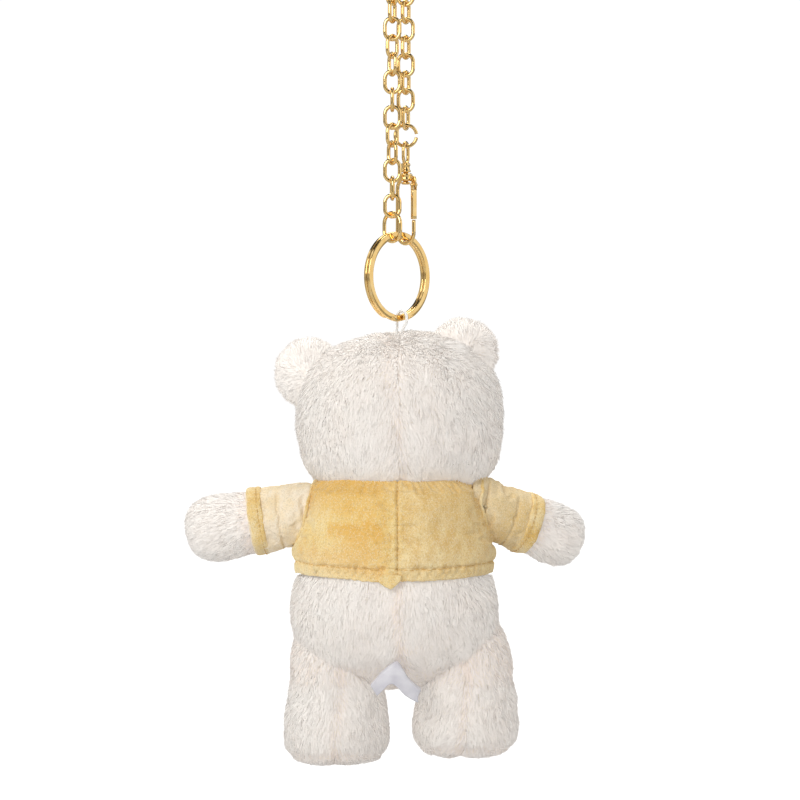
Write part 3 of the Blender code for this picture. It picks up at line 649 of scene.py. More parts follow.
def make_key_ring(material):
    """The split ring: two flat coils with round edges, joined by a smooth jog."""
    points = node_points("key_ring")
    low, high = points.min(0), points.max(0)
    radial, gap = 2.2 * MM, 0.12 * MM
    mean = (float(high[2] - low[2]) - radial) / 2
    coil = (float(np.ptp(extent(points, ACROSS))) - gap) / 2
    lane = (coil + gap) / 2
    centre = Vector((low + high) / 2)
    jog, jog_at = math.radians(14), math.radians(266)
    start, sweep_angle = jog_at + jog, 4 * math.pi - 2 * jog
    count = 300
    outline = box_outline(radial, coil, 0.34 * MM, 5)
    rings = []
    for i in range(count + 1):
        angle = start + sweep_angle * i / count
        ease = min(max((angle - jog_at - 2 * math.pi + jog) / (2 * jog), 0), 1)
        shift = lane * (2 * (ease * ease * (3 - 2 * ease)) - 1)
        out = ALONG * math.cos(angle) + UP * math.sin(angle)
        size = 0.55 + 0.45 * math.sqrt(min(min(i, count - i) / 3, 1))
        spot = centre + out * mean + ACROSS * shift
        rings.append([spot + out * x * size + ACROSS * y * size for x, y in outline])
    stand_in(new_object("key_ring_polished", *loft(rings), material), "key_ring", "gold_metal", "key_ring")


# ---------------------------------------------------------------- the swivel snap hook
def make_swivel(material):
    """The eye with its ball-ended post, after the CAD piece's box."""
    low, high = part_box("swivel_eye")
    points = node_points("swivel_eye")
    upper = points[points[:, 2] > high.z - 6.3 * MM]
    wide, thin = flat_axes(upper)
    wire = float(np.ptp(extent(upper, thin)))
    width = float(np.ptp(extent(upper, wide))) + wire * (1 - math.cos(math.pi / 6))
    length = 6.0 * MM + 2 * wire
    middle = Vector(((low.x + high.x) / 2, (low.y + high.y) / 2, high.z - length / 2))
    path = [middle + wide * x + UP * y for x, y in stadium(length - wire, width - wire)]
    eye = sweep(path, round_outline(wire / 2, 16), wide.cross(UP), closed=True)
    foot, top, neck = low.z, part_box("hook_body")[1].z, high.z - length + wire * 0.6
    profile = [(foot, 0, 0.9), (foot, 0.15, 1.4), (foot, 0.75, 1.5), (foot, 0.9, 1.2), (foot, 0.92, 0.85),
               (top, 0.3, 0.85), (top, 0.32, 1.55), (top, 0.55, 1.72), (top, 0.9, 1.72), (top, 1.05, 1.45),
               (neck, -0.9, 1.35), (neck, -0.5, 1.6), (neck, 0, 1.5), (neck, 0.35, 1.0)]
    post = turned(Vector((middle.x, middle.y, 0)), UP, [(z + rise * MM, r * MM) for z, rise, r in profile])
    swivel = new_object("swivel_eye_polished", *merge([eye, post]), material)
    stand_in(swivel, "chain_row_11", "gold_metal", "swivel_eye")


def make_hook(material, steel):
    """The hook's cast body, its gate with a round pin, and the gate's leaf spring."""
    low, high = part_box("hook_body")
    top = high.z
    eye_low, eye_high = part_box("swivel_eye")
    foot = Vector(((eye_low.x + eye_high.x) / 2, (eye_low.y + eye_high.y) / 2, 0))
    wire, collar_height = 1.3 * MM, 2.6 * MM
    half = (8.6 * MM - wire) / 2
    bottom = low.z + wire / 2
    bend = top - collar_height - 1.6 * MM
    nose = bottom + half + 4.2 * MM
    pin_z = nose + 11.7 * MM

    def at(across, z):
        return foot + ACROSS * across + UP * z

    route = [at(1.5 * MM, top - 1.3 * MM), at(2.7 * MM, bend + 1.5 * MM), at(half, bend - 0.4 * MM),
             at(half, bend - 5.0 * MM), at(half, bottom + half + 3.0 * MM)]
    turns = [math.pi * i / 8 for i in range(9)]
    route += [at(half * math.cos(t), bottom + half - half * math.sin(t)) for t in turns]
    route.append(at(-half, nose - 0.2 * MM))
    outline = [(x * 0.98, y) for x, y in round_outline(wire / 2, 18)]
    body = sweep(smooth_points(route, 90)[0], outline, ALONG)
    tip = turned(at(-half, nose - 0.35 * MM), UP, [(0, wire * 0.5), (0.2 * MM, wire * 0.47),
                                                   (0.35 * MM, wire * 0.3)])
    profile = [(0, 1.75), (0.25, 2.15), (0.6, 2.3), (1.0, 2.12), (1.6, 2.12), (2.0, 2.3), (2.4, 2.15),
               (2.6, 1.7)]
    collar = turned(foot, UP, [(top - collar_height + h * MM, r * MM) for h, r in profile], 40)
    route = [at(-1.4 * MM, top - 1.5 * MM), at(-2.6 * MM, top - 1.9 * MM), at(-half, (top + pin_z) / 2),
             at(-half, pin_z - 0.6 * MM)]
    lug = sweep(smooth_points(route, 16)[0], box_outline(1.9 * MM, 0.8 * MM, 0.3 * MM), ALONG)
    cast = new_object("hook_cast", *merge([body, tip, collar, lug]), material)
    stand_in(cast, "hook", "gold_metal", "hook_body")

    hinge = at(-half, pin_z)
    end = [(1.2, 0.45), (1.3, 0.5), (1.45, 0.42), (1.5, 0.2)]
    profile = [(-s * MM, r * MM) for s, r in end[::-1]] + [(s * MM, r * MM) for s, r in end]
    stand_in(new_object("gate_pin_domed", *turned(hinge, ALONG, profile, 20), material), "hook",
             "gold_metal", "gate_pin")

    slot_low = pin_z - 1.5 * MM
    gate_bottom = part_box("gate")[0].z
    thick = 1.15 * MM
    parts = [sweep([at(-half, gate_bottom + (slot_low - gate_bottom) * i / 10) for i in range(11)],
                   box_outline(2.0 * MM, thick, 0.28 * MM), ACROSS)]
    for side in (-1, 1):
        spots = [at(-half, z) + ALONG * side * 0.79 * MM for z in (slot_low - 0.3 * MM, pin_z,
                                                                   pin_z + 0.75 * MM)]
        parts.append(sweep(spots, box_outline(0.4 * MM, thick, 0.12 * MM), ACROSS))
    stand_in(new_object("gate_blade", *merge(parts), material), "gate", "gold_metal", "gate")

    heel = hinge - UP * 0.4 * MM + ACROSS * 0.78 * MM
    toe = hinge - UP * 2.9 * MM + ACROSS * 0.7 * MM
    leaf, _ = smooth_points([heel, heel.lerp(toe, 0.5) + ACROSS * 0.05 * MM, toe], 16)
    spring = new_object("spring_leaf", *sweep(leaf, box_outline(0.55 * MM, 0.2 * MM, 0.08 * MM), ACROSS),
                        steel)
    stand_in(spring, "hook", "spring_steel", "gate_spring")


# ---------------------------------------------------------------- stuffed forms
def oval_rings(base, axis, across, rows, segments, power=2.0):
    """Rings about an axis from (along, shift, width, depth) rows in millimetres."""
    axis = axis.normalized()
    wide = (across - axis * across.dot(axis)).normalized()
    deep = axis.cross(wide)
    outline = []
    for i in range(segments):
        turn = 2 * math.pi * i / segments
        c, s = math.cos(turn), math.sin(turn)
        outline.append((math.copysign(abs(c) ** (2 / power), c), math.copysign(abs(s) ** (2 / power), s)))
    return [[base + (axis * along + deep * (shift + y * depth) + wide * x * width) * MM for x, y in outline]
            for along, shift, width, depth in rows]


def eased(rows, count):
    """More rows on a smooth curve through the given ones."""
    rows = np.array(rows, float)
    run = np.concatenate([[0], np.cumsum(np.linalg.norm(np.diff(rows, axis=0), axis=1))])
    out = []
    for t in np.linspace(0, run[-1], count):
        k = min(max(np.searchsorted(run, t) - 1, 0), len(rows) - 2)
        u = (t - run[k]) / (run[k + 1] - run[k])
        before, after = rows[max(k - 1, 0)], rows[min(k + 2, len(rows) - 1)]
        m0 = (rows[k + 1] - before) / (run[k + 1] - run[max(k - 1, 0)]) * (run[k + 1] - run[k])
        m1 = (after - rows[k]) / (run[min(k + 2, len(rows) - 1)] - run[k]) * (run[k + 1] - run[k])
        h = (2 * u**3 - 3 * u**2 + 1, u**3 - 2 * u**2 + u, -2 * u**3 + 3 * u**2, u**3 - u**2)
        out.append(tuple(rows[k] * h[0] + m0 * h[1] + rows[k + 1] * h[2] + m1 * h[3]))
    return out


def simulate(obj, held, **values):
    """A short cloth simulation of an object that is at ten times its size, pinned where held is high."""
    bpy.context.view_layer.objects.active = obj
    group = obj.vertex_groups.new(name="held")
    for index in np.flatnonzero(held > 0.02):
        group.add([int(index)], float(min(held[index], 1)), "REPLACE")
    cloth = obj.modifiers.new("cloth", "CLOTH")
    cloth.settings.vertex_group_mass = "held"
    cloth.settings.use_pressure = True
    cloth.settings.effector_weights.gravity = 0
    cloth.collision_settings.use_collision = False
    for key, value in values.items():
        setattr(cloth.settings, key, value)
    for step in range(1, 21):
        bpy.context.scene.frame_set(step)
    graph = bpy.context.evaluated_depsgraph_get()
    result = np.empty(len(obj.data.vertices) * 3)
    obj.evaluated_get(graph).to_mesh().vertices.foreach_get("co", result)
    obj.modifiers.clear()
    obj.vertex_groups.clear()
    bpy.context.scene.frame_set(1)
    return result.reshape(-1, 3) / 10


def capped(moved, cap):
    """Moves that are no longer than cap."""
    far = np.linalg.norm(moved, axis=-1, keepdims=True)
    return moved * np.minimum(1, cap / np.maximum(far, 1e-9))


def stuff(obj, voxel, cap, pins):
    """Fills a closed form like a sewn pad: an even remesh, then pressure with its seams held."""
    remesh = obj.modifiers.new("even", "REMESH")
    remesh.mode = "VOXEL"
    remesh.voxel_size = voxel
    apply_modifiers(obj)
    start = coords_of(obj)
    held = pins(start) if pins else np.zeros(len(start))
    set_coords(obj, start * 10)
    moved = simulate(obj, held, uniform_pressure_force=4.0, quality=4) - start
    set_coords(obj, start + capped(moved, cap))


def apply_modifiers(obj):
    graph = bpy.context.evaluated_depsgraph_get()
    old = obj.data
    made = bpy.data.meshes.new_from_object(obj.evaluated_get(graph), depsgraph=graph)
    obj.modifiers.clear()
    obj.data = made
    bpy.data.meshes.remove(old)


def smooth_mesh(obj, times, subdivide):
    if times:
        relax = obj.modifiers.new("relax", "SMOOTH")
        relax.iterations = times
        relax.factor = 0.5
    if subdivide:
        finer = obj.modifiers.new("finer", "SUBSURF")
        finer.levels = finer.render_levels = 1
    apply_modifiers(obj)
    obj.data.shade_smooth()


def carve(obj, depth_at):
    """Moves the surface along its normals by depth_at(points), inwards where it is positive."""
    points = coords_of(obj)
    set_coords(obj, points - normals_of(obj) * depth_at(points)[:, None])


def soft_form(name, body, nodes, rings, size, material, tips=None, seam=None, grooves=None):
    """A padded piece in place of CAD nodes. size is (voxel, swell, lumps) in millimetres. seam gives the
    distance to the seams that are held while it is stuffed, and grooves are cut afterwards."""
    tips = tips or [sum(ring, Vector()) / len(ring) for ring in (rings[0], rings[-1])]
    voxel, swell, lumps = (s * MM for s in size)
    pad = new_object(name, *loft(rings, start_tip=tips[0], end_tip=tips[1]), material)
    stuff(pad, voxel, swell, seam and seam_pins(seam))
    if not pad.data.materials:
        pad.data.materials.append(material)
    smooth_mesh(pad, 3, True)
    carve(pad, lambda p: (lattice_noise(p, 14 * MM, 3) * 0.6 + lattice_noise(p, 6 * MM, 4) * 0.4) * lumps)
    if grooves:
        carve(pad, grooves)
    stand_in(pad, body, "plush_fabric", *nodes)
    return pad


# ---------------------------------------------------------------- fur
def scatter(obj, per_mm2, rng):
    """Random points on a mesh, with the surface's normal at each."""
    mesh = obj.data
    mesh.calc_loop_triangles()
    corners = np.empty(len(mesh.loop_triangles) * 3, dtype=np.int32)
    mesh.loop_triangles.foreach_get("vertices", corners)
    corners = corners.reshape(-1, 3)
    points, normals = coords_of(obj), normals_of(obj)
    a, b, c = (points[corners[:, i]] for i in range(3))
    area = np.linalg.norm(np.cross(b - a, c - a), axis=1) / 2
    count = int(area.sum() / MM**2 * per_mm2)
    pick = rng.choice(len(area), count, p=area / area.sum())
    u, v = rng.random(count), rng.random(count)
    over = u + v > 1
    u[over], v[over] = 1 - u[over], 1 - v[over]
    weights = (1 - u - v, u, v)
    spots, out = (sum(values[corners[pick, i]] * weights[i][:,
        None] for i in range(3)) for values in (points, normals))
    return spots, unit(out)


def unit(vectors):
    return vectors / np.maximum(np.linalg.norm(vectors, axis=1, keepdims=True), 1e-12)


def tufted(points):
    """The pile lies smoother on the left than on the right."""
    return 0.5 + 0.5 / (1 + np.exp(-(points[:, 0] / MM - 2) / 3))


def grow_fur(name, skin, body, finishes, seed, comb, per_mm2=12.5, pile=PILE, keep=None, crease_shade=None,
             rough=None):
    """Tapered, bent fibres over a skin. comb gives each point the way that its pile is brushed."""
    rng = np.random.default_rng(seed)
    spots, normals = scatter(skin, per_mm2 * (1.0), rng)
    kept = keep(spots)
    spots, normals = spots[kept], normals[kept]
    count = len(spots)
    wild = (rough or tufted)(spots)
    flow = comb(spots, normals)
    for size, amount, shift in ((9.0, 0.4, 1), (3.6, 0.42, 5)):
        swirl = np.stack([lattice_noise(spots, size * MM, seed + shift + k) for k in range(3)], axis=1)
        flow = flow + swirl * amount * wild[:, None]
    flow = flow + rng.normal(0, 0.16, (count, 3))
    tangent = unit(flow - normals * (flow * normals).sum(1, keepdims=True))
    tuft = lattice_noise(spots, 2.6 * MM, seed + 20)
    patch = lattice_noise(spots, 11 * MM, seed + 21)
    length = (pile * (0.88 + 0.24 * rng.random(count) + 0.14 * tuft * wild))[:, None]
    lift = np.clip(0.64 + 0.08 * patch * wild + 0.07 * rng.normal(size=count), 0.3, 0.95)[:, None]
    lay = np.sqrt(1 - lift**2)
    root = spots - normals * 0.35 * MM
    middle = spots + (normals * lift * 0.62 + tangent * lay * 0.38) * length
    tip = spots + (normals * lift * 0.92 + tangent * lay * 1.12) * length
    side = unit(np.cross(tip - root, unit(rng.normal(size=(count, 3)))))
    half = (FIBRE / 2 * (0.7 + 0.6 * rng.random(count)))[:, None] * side * 1.0
    half *= np.sign((np.cross(middle - half - root, middle + half - root) * normals).sum(1, keepdims=True))
    points = np.stack([root, middle - half, middle + half, tip], axis=1)
    first = np.arange(count)[:, None] * 4
    faces = np.concatenate([first + [0, 1, 2], first + [1, 3, 2]], axis=1)
    mesh = bpy.data.meshes.new(name)
    mesh.vertices.add(count * 4)
    mesh.vertices.foreach_set("co", points.astype(np.float32).ravel())
    mesh.loops.add(faces.size)
    mesh.loops.foreach_set("vertex_index", faces.astype(np.int32).ravel())
    mesh.polygons.add(count * 2)
    mesh.polygons.foreach_set("loop_start", np.arange(0, faces.size, 3, dtype=np.int32))
    # painted shade: fibres take the fourth, darker warm finish where this skin's shade function is high
    painted_shade = np.clip(crease_shade(spots), 0, 1) if crease_shade else np.zeros(count)
    tone = patch * 0.5 + tuft * 0.5 + rng.normal(0, 0.5, count)
    choice = np.where(tone > 0.25, 0, np.where(tone > -0.55, 1, 2))
    choice = np.where(rng.random(count) < painted_shade, 3, choice)
    mesh.polygons.foreach_set("material_index", np.repeat(choice, 2).astype(np.int32))
    for finish in finishes:
        mesh.materials.append(finish)
    mesh.update(calc_edges=True)
    mesh.shade_smooth()
    soft = unit(normals + tangent * 0.25 + rng.normal(0, 0.1, (count, 3)))
    mesh.normals_split_custom_set_from_vertices(np.repeat(soft, 4, axis=0))
    fur = bpy.data.objects.new(name, mesh)
    bpy.context.collection.objects.link(fur)
    stand_in(fur, body, "plush_fabric")


# ---------------------------------------------------------------- the bear's own sizes
HEAD_CENTRE = Vector((0.0, 5.0, -145.6))
HEAD_ROLL = math.radians(-4.0)
TORSO_X = -1.2
SHOULDER = {-1: Vector((-24.6, 0.0, -178.5)), 1: Vector((23.4, 0.0, -176.0))}
DROOP = {-1: math.radians(9), 1: math.radians(19)}
REACH_FORWARD = {-1: math.radians(4), 1: math.radians(20)}
ARM_LENGTH = {-1: 1.0, 1: 0.94}
HIP = {-1: Vector((-20.8, 1.0, -226.7)), 1: Vector((22.3, 1.0, -226.7))}
FOOT_DROP = {-1: 1.0, 1: 0.93}
NAMES = {-1: "left", 1: "right"}
TORSO = [(-238.5, 4, 3.5), (-237, 11.5, 10), (-233, 20.5, 17), (-226, 29.2, 22.8), (-217.5, 33.4, 25.8),
         (-209, 34.2, 26.4), (-202.5, 32.4, 25.4), (-196, 31.2, 24.4), (-189, 30.6, 23.6),
         (-180, 29.4, 22.2), (-173, 26.4, 20.2), (-168, 20, 15.6)]


def reach_of(side):
    flat = math.cos(DROOP[side])
    turn = REACH_FORWARD[side]
    return Vector((side * flat * math.cos(turn), flat * math.sin(turn), -math.sin(DROOP[side])))


def seam_pins(line, wide=1.6):
    """Pins for the cloth near a seam, where line gives how far each point lies from it, in millimetres."""
    return lambda points: 1 - np.abs(line(points / MM)) / wide


def half_sizes(form, z, less=0.0):
    """A form's half width and half depth at heights z, from its (z, width, depth) rows."""
    rows = np.array(form)
    return [np.interp(z, rows[:, 0], rows[:, k] - less) for k in (1, 2)]


def outside(points, form, middle, less=0.0):
    """How far points in millimetres lie outside a form: above 1 is outside."""
    w, d = half_sizes(form, points[..., 2], less)
    return (np.abs(points[..., 0] - middle) / w) ** ROUND + (np.abs(points[..., 1]) / d) ** ROUND


def valley(distance, wide, deep):
    """A groove's depth in metres from the distance to its line in millimetres."""
    return np.exp(-((distance / wide) ** 2)) * deep * MM


def head_frame(points):
    """Points in millimetres from the head's centre, along its own tilted axes."""
    local = points / MM - np.array(HEAD_CENTRE)
    c, s = math.cos(-HEAD_ROLL), math.sin(-HEAD_ROLL)
    x = local[:, 0] * c + local[:, 2] * s
    z = -local[:, 0] * s + local[:, 2] * c
    return np.stack([x, local[:, 1], z], axis=1)


def head_place(x, y, z):
    """A place in the row frame from a place in the head's own axes, in millimetres."""
    c, s = math.cos(HEAD_ROLL), math.sin(HEAD_ROLL)
    return (HEAD_CENTRE + Vector((x * c + z * s, y, -x * s + z * c))) * MM


def dome_rows(first, last, count, power, high, wide, deep, cup=0.0):
    """Rows for oval_rings along an ellipse's arc, between two turns in degrees."""
    turns = [math.radians(first + (last - first) * i / (count - 1)) for i in range(count)]
    return [(math.sin(t) * high, cup * math.cos(t) ** 2, wide * math.cos(t) ** power,
             deep * math.cos(t) ** power)
            for t in turns]


def torso_seam(points):
    return np.where(points[:, 1] < 0, points[:, 0] - 0.2 + 0.6 * np.sin(points[:, 2] / 7), 30)


def make_head(backing, fibres, thread):
    """The head, with its ears and muzzle, its fur, and the seam down the back."""
    inset = INSET / MM
    rows = []
    for i in range(26):
        turn = math.radians(-86 + 172 * i / 25)
        power, high = (2.35, 27 - inset) if turn > 0 else (2.8, 31 - inset)
        z = math.copysign(abs(math.sin(turn)) ** (2 / power), turn) * high
        r = math.cos(turn) ** (2 / power)
        rows.append((max(z, -28.4 + 1.5 * r), 0, (34.6 - inset) * r, (29 - inset) * r))
    axis = Vector((math.sin(HEAD_ROLL), 0, math.cos(HEAD_ROLL)))
    rings = oval_rings(HEAD_CENTRE * MM, axis, SIDEWAYS, rows, 72, 2.2)

    def seam(points):
        local = head_frame(points * MM)
        return np.where(local[:, 1] < 0, local[:, 0] + 0.9 + 0.8 * np.sin(local[:, 2] / 9), 30)

    skin = soft_form("head_pad", "bear", ["head_skin", "head_filling"], rings, (1.7, 1.3, 0.9), backing,
                     (sum(rings[0], Vector()) / 72, head_place(0, 0, 27 - inset)), seam,
                     lambda p: valley(seam(p / MM), 2.4, 0.8))

    def comb(points, normals):
        x, y, _ = head_frame(points).T
        part = np.exp(-((seam(points / MM) / 6.0) ** 2))
        side = np.clip((x + 0.9) / 1.5, -1, 1)
        return np.stack([0.35 * x / 34 + side * part * 0.45, y / 60, -0.9 - 0.25 * part], axis=1)

    # painted shade: darker warm fur along the back seam's groove and under the head
    def painted_shade(points):
        low = np.clip((-head_frame(points)[:, 2] - 19) / 7, 0, 1) * 0.35
        return np.exp(-((seam(points / MM) / 2.2) ** 2)) * 0.3 + low

    def keep(points):
        x, y, z = head_frame(points).T
        face = (y > 22) & (np.hypot(x / 11.5, (z + 8) / 8) < 1)
        beads = (y > 15) & (np.hypot(np.abs(x) - 12.5, z - 1.5) < 2.0)
        cleft = np.linalg.norm((points / MM - (0, 1, -118.7)) * (1, 1, 0.5), axis=1) < 2.6
        return ~(face | (z < -26.9) | cleft | beads)

    def rough(points):
        return 0.55 + 0.75 / (1 + np.exp(-(head_frame(points)[:, 0] - 2) / 3))

    for seed, side in ((11, -1), (12, 1)):
        grow_fur("head_fur_" + NAMES[side], skin, "bear", fibres, seed, comb, crease_shade=painted_shade, rough=rough,
                 keep=lambda points: keep(points) & (points[:, 0] * side >= 0))
    make_ear("ear_left", -28.6, 14.6, 46, 21, backing, fibres)
    make_ear("ear_right", 22.7, 18.0, -34, 22, backing, fibres)
    make_muzzle(backing, fibres)
    make_face(thread)


def make_ear(name, x, z, lean, seed, backing, fibres):
    """A cupped ear, from its place on the head and its lean in degrees."""
    high = 10.4
    lean = math.radians(lean)
    base = head_place(x, -0.3, z)
    rim = (head_place(-math.sin(lean), 0, math.cos(lean)) - head_place(0, 0, 0)).normalized()
    rings = oval_rings(base, rim, SIDEWAYS, dome_rows(-84, 84, 17, 0.86, high, 10.2, 4.0, -1.6), 40)
    pad = soft_form(name + "_pad", "bear", [name], rings, (1.3, 0.9, 0.5), backing,
                    (base - rim * high * MM, base + rim * high * MM))

    def comb(points, normals):
        return (points - np.array(base)) / MM * 0.12 + (0, 0, 0.1)

    # painted shade: darker warm fur on the ear's lower half, by its root on the head
    def painted_shade(points):
        return np.clip((-2.0 - (points - np.array(base)) @ np.array(rim) / MM) / 5, 0, 0.9)

    def keep(points):
        return ((np.abs(head_frame(points)) / (31.5, 27, 24.5)) ** 2.3).sum(1) > 0.93

    grow_fur(name + "_fur", pad, "bear", fibres, seed, comb, 13.0, PILE * 0.85, keep, painted_shade)


def make_muzzle(backing, fibres):
    base = (HEAD_CENTRE + Vector((0, 24, -8))) * MM
    axis = Vector((0, 1, -0.1))
    rings = oval_rings(base, axis, SIDEWAYS, dome_rows(-30, 84, 15, 0.85, 8.6, 12.0, 8.2), 40, 2.1)
    pad = soft_form("muzzle_pad", "bear", ["muzzle"], rings, (1.3, 0.9, 0.3), backing,
                    (base - axis * 3 * MM, base + axis.normalized() * 8.7 * MM))

    def comb(points, normals):
        return (points - np.array(base)) / MM * (0.1, 0, 0.1) - (0, 0, 0.4)

    def keep(points):
        x, y, z = ((points - np.array(base)) / MM).T
        return (y > -2) & ~((np.hypot(x / 4.8, (z - 0.6) / 3.6) < 1) & (y > 5))

    grow_fur("muzzle_fur", pad, "bear", fibres, 31, comb, 13.0, PILE * 0.6, keep)


def make_face(thread):
    """The stitched nose and mouth, in satin stitch, and the two eye beads."""
    middle = HEAD_CENTRE + Vector((0, 33.6, -6.9))
    parts = []
    count = 23
    for i in range(count):
        x = (i / (count - 1) * 2 - 1) * 4.3
        top = 2.5 * (1 - abs(x / 4.6) ** 2.6)
        low = -2.9 * (1 - abs(x / 4.7) ** 1.3)
        bulge = 1.4 * math.sqrt(max(0, 1 - (x / 5.2) ** 2))
        run = []
        for t in (k / 8 for k in range(9)):
            y = bulge * math.sin(math.pi * (0.12 + 0.76 * t)) + 0.1375 * (i % 2)
            run.append((middle + Vector((x, y, top + (low - top) * t))) * MM)
        parts.append(sweep(run, round_outline(0.27 * MM, 8), SIDEWAYS))
    stand_in(new_object("nose_stitches", *merge(parts), thread), "bear", "embroidery_thread", "nose")
    lines = [(12, SIDEWAYS, [(0, 33.7, -9.4), (0, 33.2, -12.2), (0, 32.2, -13.6)])]
    for side in (-1, 1):
        lines.append((22, SIDEWAYS + UP * 0.01, [(0, 32.4, -13.3), (side * 2.2, 31.6, -14.9),
                                                 (side * 4.8, 30.8, -14.2),
                                                 (side * 6.2, 30.6, -12.6)]))
    parts = []
    for count, normal, route in lines:
        path, _ = smooth_points([(HEAD_CENTRE + Vector(p)) * MM for p in route], count)
        parts.append(sweep(path, round_outline(0.4 * MM, 10), normal))
    stand_in(new_object("mouth_stitches", *merge(parts), thread), "bear", "embroidery_thread")
    bead = bead_finish()
    turns = [math.radians(-20 + 9 * k) for k in range(13)]
    profile = [(math.sin(t) * 2.5 * MM, math.cos(t) * 2.45 * MM) for t in turns] + [(2.5 * MM, 0.02 * MM)]
    for side in (-1, 1):
        name = "eye_" + NAMES[side]
        out = Vector((side * 0.3, 1, 0.05)).normalized()
        base = sum(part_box(name), Vector()) / 2 - out * 1.4 * MM
        stand_in(new_object(name + "_bead", *turned(base, out, profile, 36), bead), "bear", "eye_bead", name)


def make_torso(backing, fibres):
    """The torso's lower half shows under the shirt."""
    inset = INSET / MM
    rows = [(z + (inset if k < 3 else 0), 0, max(w + (z > -230) - inset, 2), max(d - inset, 2))
            for k, (z, w, d) in enumerate(TORSO)]
    middle = Vector(((TORSO_X - 0.3) * MM, 0, 0))
    rings = oval_rings(middle, UP, SIDEWAYS, eased(rows, 40), 72, ROUND)
    tips = [Vector((TORSO_X * MM, 0, ring[0].z + rise * MM)) for ring,
            rise in ((rings[0], -1.0), (rings[-1], 1.5))]
    skin = soft_form("torso_pad", "bear", ["torso_skin", "torso_filling"], rings, (1.8, 1.3, 0.8),
                     backing, tips,
                     torso_seam, lambda p: valley(torso_seam(p / MM), 2.2, 0.5))

    def comb(points, normals):
        part = np.exp(-((torso_seam(points / MM) / 5) ** 2)) * np.clip(points[:, 0] / MM, -1, 1)
        return np.stack([part * 0.35, part * 0, part * 0 - 1.0], axis=1)

    # painted shade: darker warm fur along the back seam, in the crease near (3.4, -222.3) mm and under the
    # torso
    def painted_shade(points):
        mm = points / MM
        crease = np.hypot((mm[:, 0] - 3.4) / 3.2, (mm[:, 2] + 222.3) / 1.0)
        return (np.exp(-((torso_seam(mm) / 1.5) ** 2)) * 0.6 + np.clip((-226 - mm[:, 2]) / 9, 0, 0.4)
                + np.exp(-(crease**2)) * 0.6)

    grow_fur("torso_fur", skin, "bear", fibres, 41, comb, keep=lambda p: p[:, 2] / MM < -199.5, crease_shade=painted_shade)


def make_leg(side, backing, fibres):
    """A leg, from inside the torso to the broad foot that points forwards."""
    name = NAMES[side]
    drop = FOOT_DROP[side]
    rows = [(-34.4, 7.0, 8.5, 13), (-33.6, 6.9, 12.0, 16.6), (-32.6, 6.2, 15.2, 19.6), (-27, 4.8, 17.2, 19.8),
            (-19.5, 2.8, 16.6, 17.6), (-12, 1.0, 15.8, 15.2), (-4, 0.2, 15, 14.4), (4, 0, 13.6, 13.2),
            (11, 0, 9, 9), (13.5, 0, 3, 3)]
    rows = [(z * (drop if z < 0 else 1), o, w - 1.4, d - 1.4) for z, o, w, d in rows]
    rings = oval_rings(HIP[side] * MM, UP, SIDEWAYS, eased(rows, 36), 60, ROUND)
    hip = HIP[side]

    def seam(points):
        return np.where(points[:, 1] < 6, points[:, 0] - hip.x + side * 0.5 + 0.9 * np.sin(points[:,
                                                                                                  2] / 6), 30)

    def sole(points):
        return points[:, 2] - hip.z + 31.4 * drop

    skin = soft_form(f"leg_pad_{name}", f"leg_{name}", [f"leg_skin_{name}", f"leg_filling_{name}"],
                     rings,
                     (1.7, 1.3, 0.8), backing, None, lambda p: np.minimum(np.abs(seam(p)), np.abs(sole(p))),
                     lambda p: valley(seam(p / MM), 2.0, 0.4) + valley(sole(p / MM), 1.2, 0.6))

    def comb(points, normals):
        x = points[:, 0] / MM - hip.x
        part = np.exp(-((seam(points / MM) / 4.5) ** 2)) * np.clip(x, -1, 1)
        return np.stack([part * 0.3 + x * 0.012, x * 0, np.where(sole(points / MM) > -1, -1.0, -0.15)],
                        axis=1)

    # painted shade: darker warm fur along the seam and the sole's crease, and a share of it over the leg
    # above z = -236 mm
    def painted_shade(points):
        mm = points / MM
        return (np.exp(-((seam(mm) / 1.3) ** 2)) * 0.55 + np.exp(-((sole(mm) / 1.2) ** 2)) * 0.5
                + np.clip((mm[:, 2] + 236) / 8, 0, 0.3))

    grow_fur(f"leg_fur_{name}", skin, f"leg_{name}", fibres, 51 + side, comb, crease_shade=painted_shade,
             keep=lambda p: outside(p / MM, TORSO, TORSO_X, 3.2) > 1)


def make_arm(side, backing, fibres):
    """An arm, from inside the torso to the rounded paw."""
    name = NAMES[side]
    scale = ARM_LENGTH[side]
    reach = reach_of(side)
    rows = [(-3, 6.0), (3, 7.6), (14, 8.0), (20, 8.4), (24, 8.8), (28.5, 9.4), (33.5, 9.9), (38.5, 9.6),
            (42.3, 7.8),
            (44.4, 4.8), (45.0, 1.6)]
    far, size = {-1: (1.0, 0.97), 1: (0.915, 0.87)}[side]
    rows = [((s if s < 20 else 20 + (s - 20) * far) * scale, r * size) for s, r in rows]
    rows = eased([(s, 0, r, r * (0.95 if s > 24 * scale else 1)) for s, r in rows], 34)
    rings = oval_rings(SHOULDER[side] * MM, reach, UP, rows, 48)
    skin = soft_form(f"arm_pad_{name}", f"arm_{name}", [f"arm_skin_{name}", f"arm_filling_{name}"],
                     rings,
                     (1.5, 1.1, 0.7), backing)
    base, way = np.array(SHOULDER[side]) * MM, np.array(reach)

    def along(points):
        return (points - base) @ way / MM / scale

    # painted shade: fibres by the cuff, where the sleeve shades the arm, take the darker warm finish
    grow_fur(f"arm_fur_{name}", skin, f"arm_{name}", fibres, 61 + side, lambda p,
             n: p * 0 + way + (0, 0, -0.35),
             pile=PILE * 0.95, keep=lambda p: along(p) > 22.5,
             crease_shade=lambda p: np.clip((27.5 - along(p)) / 4, 0, 0.5))


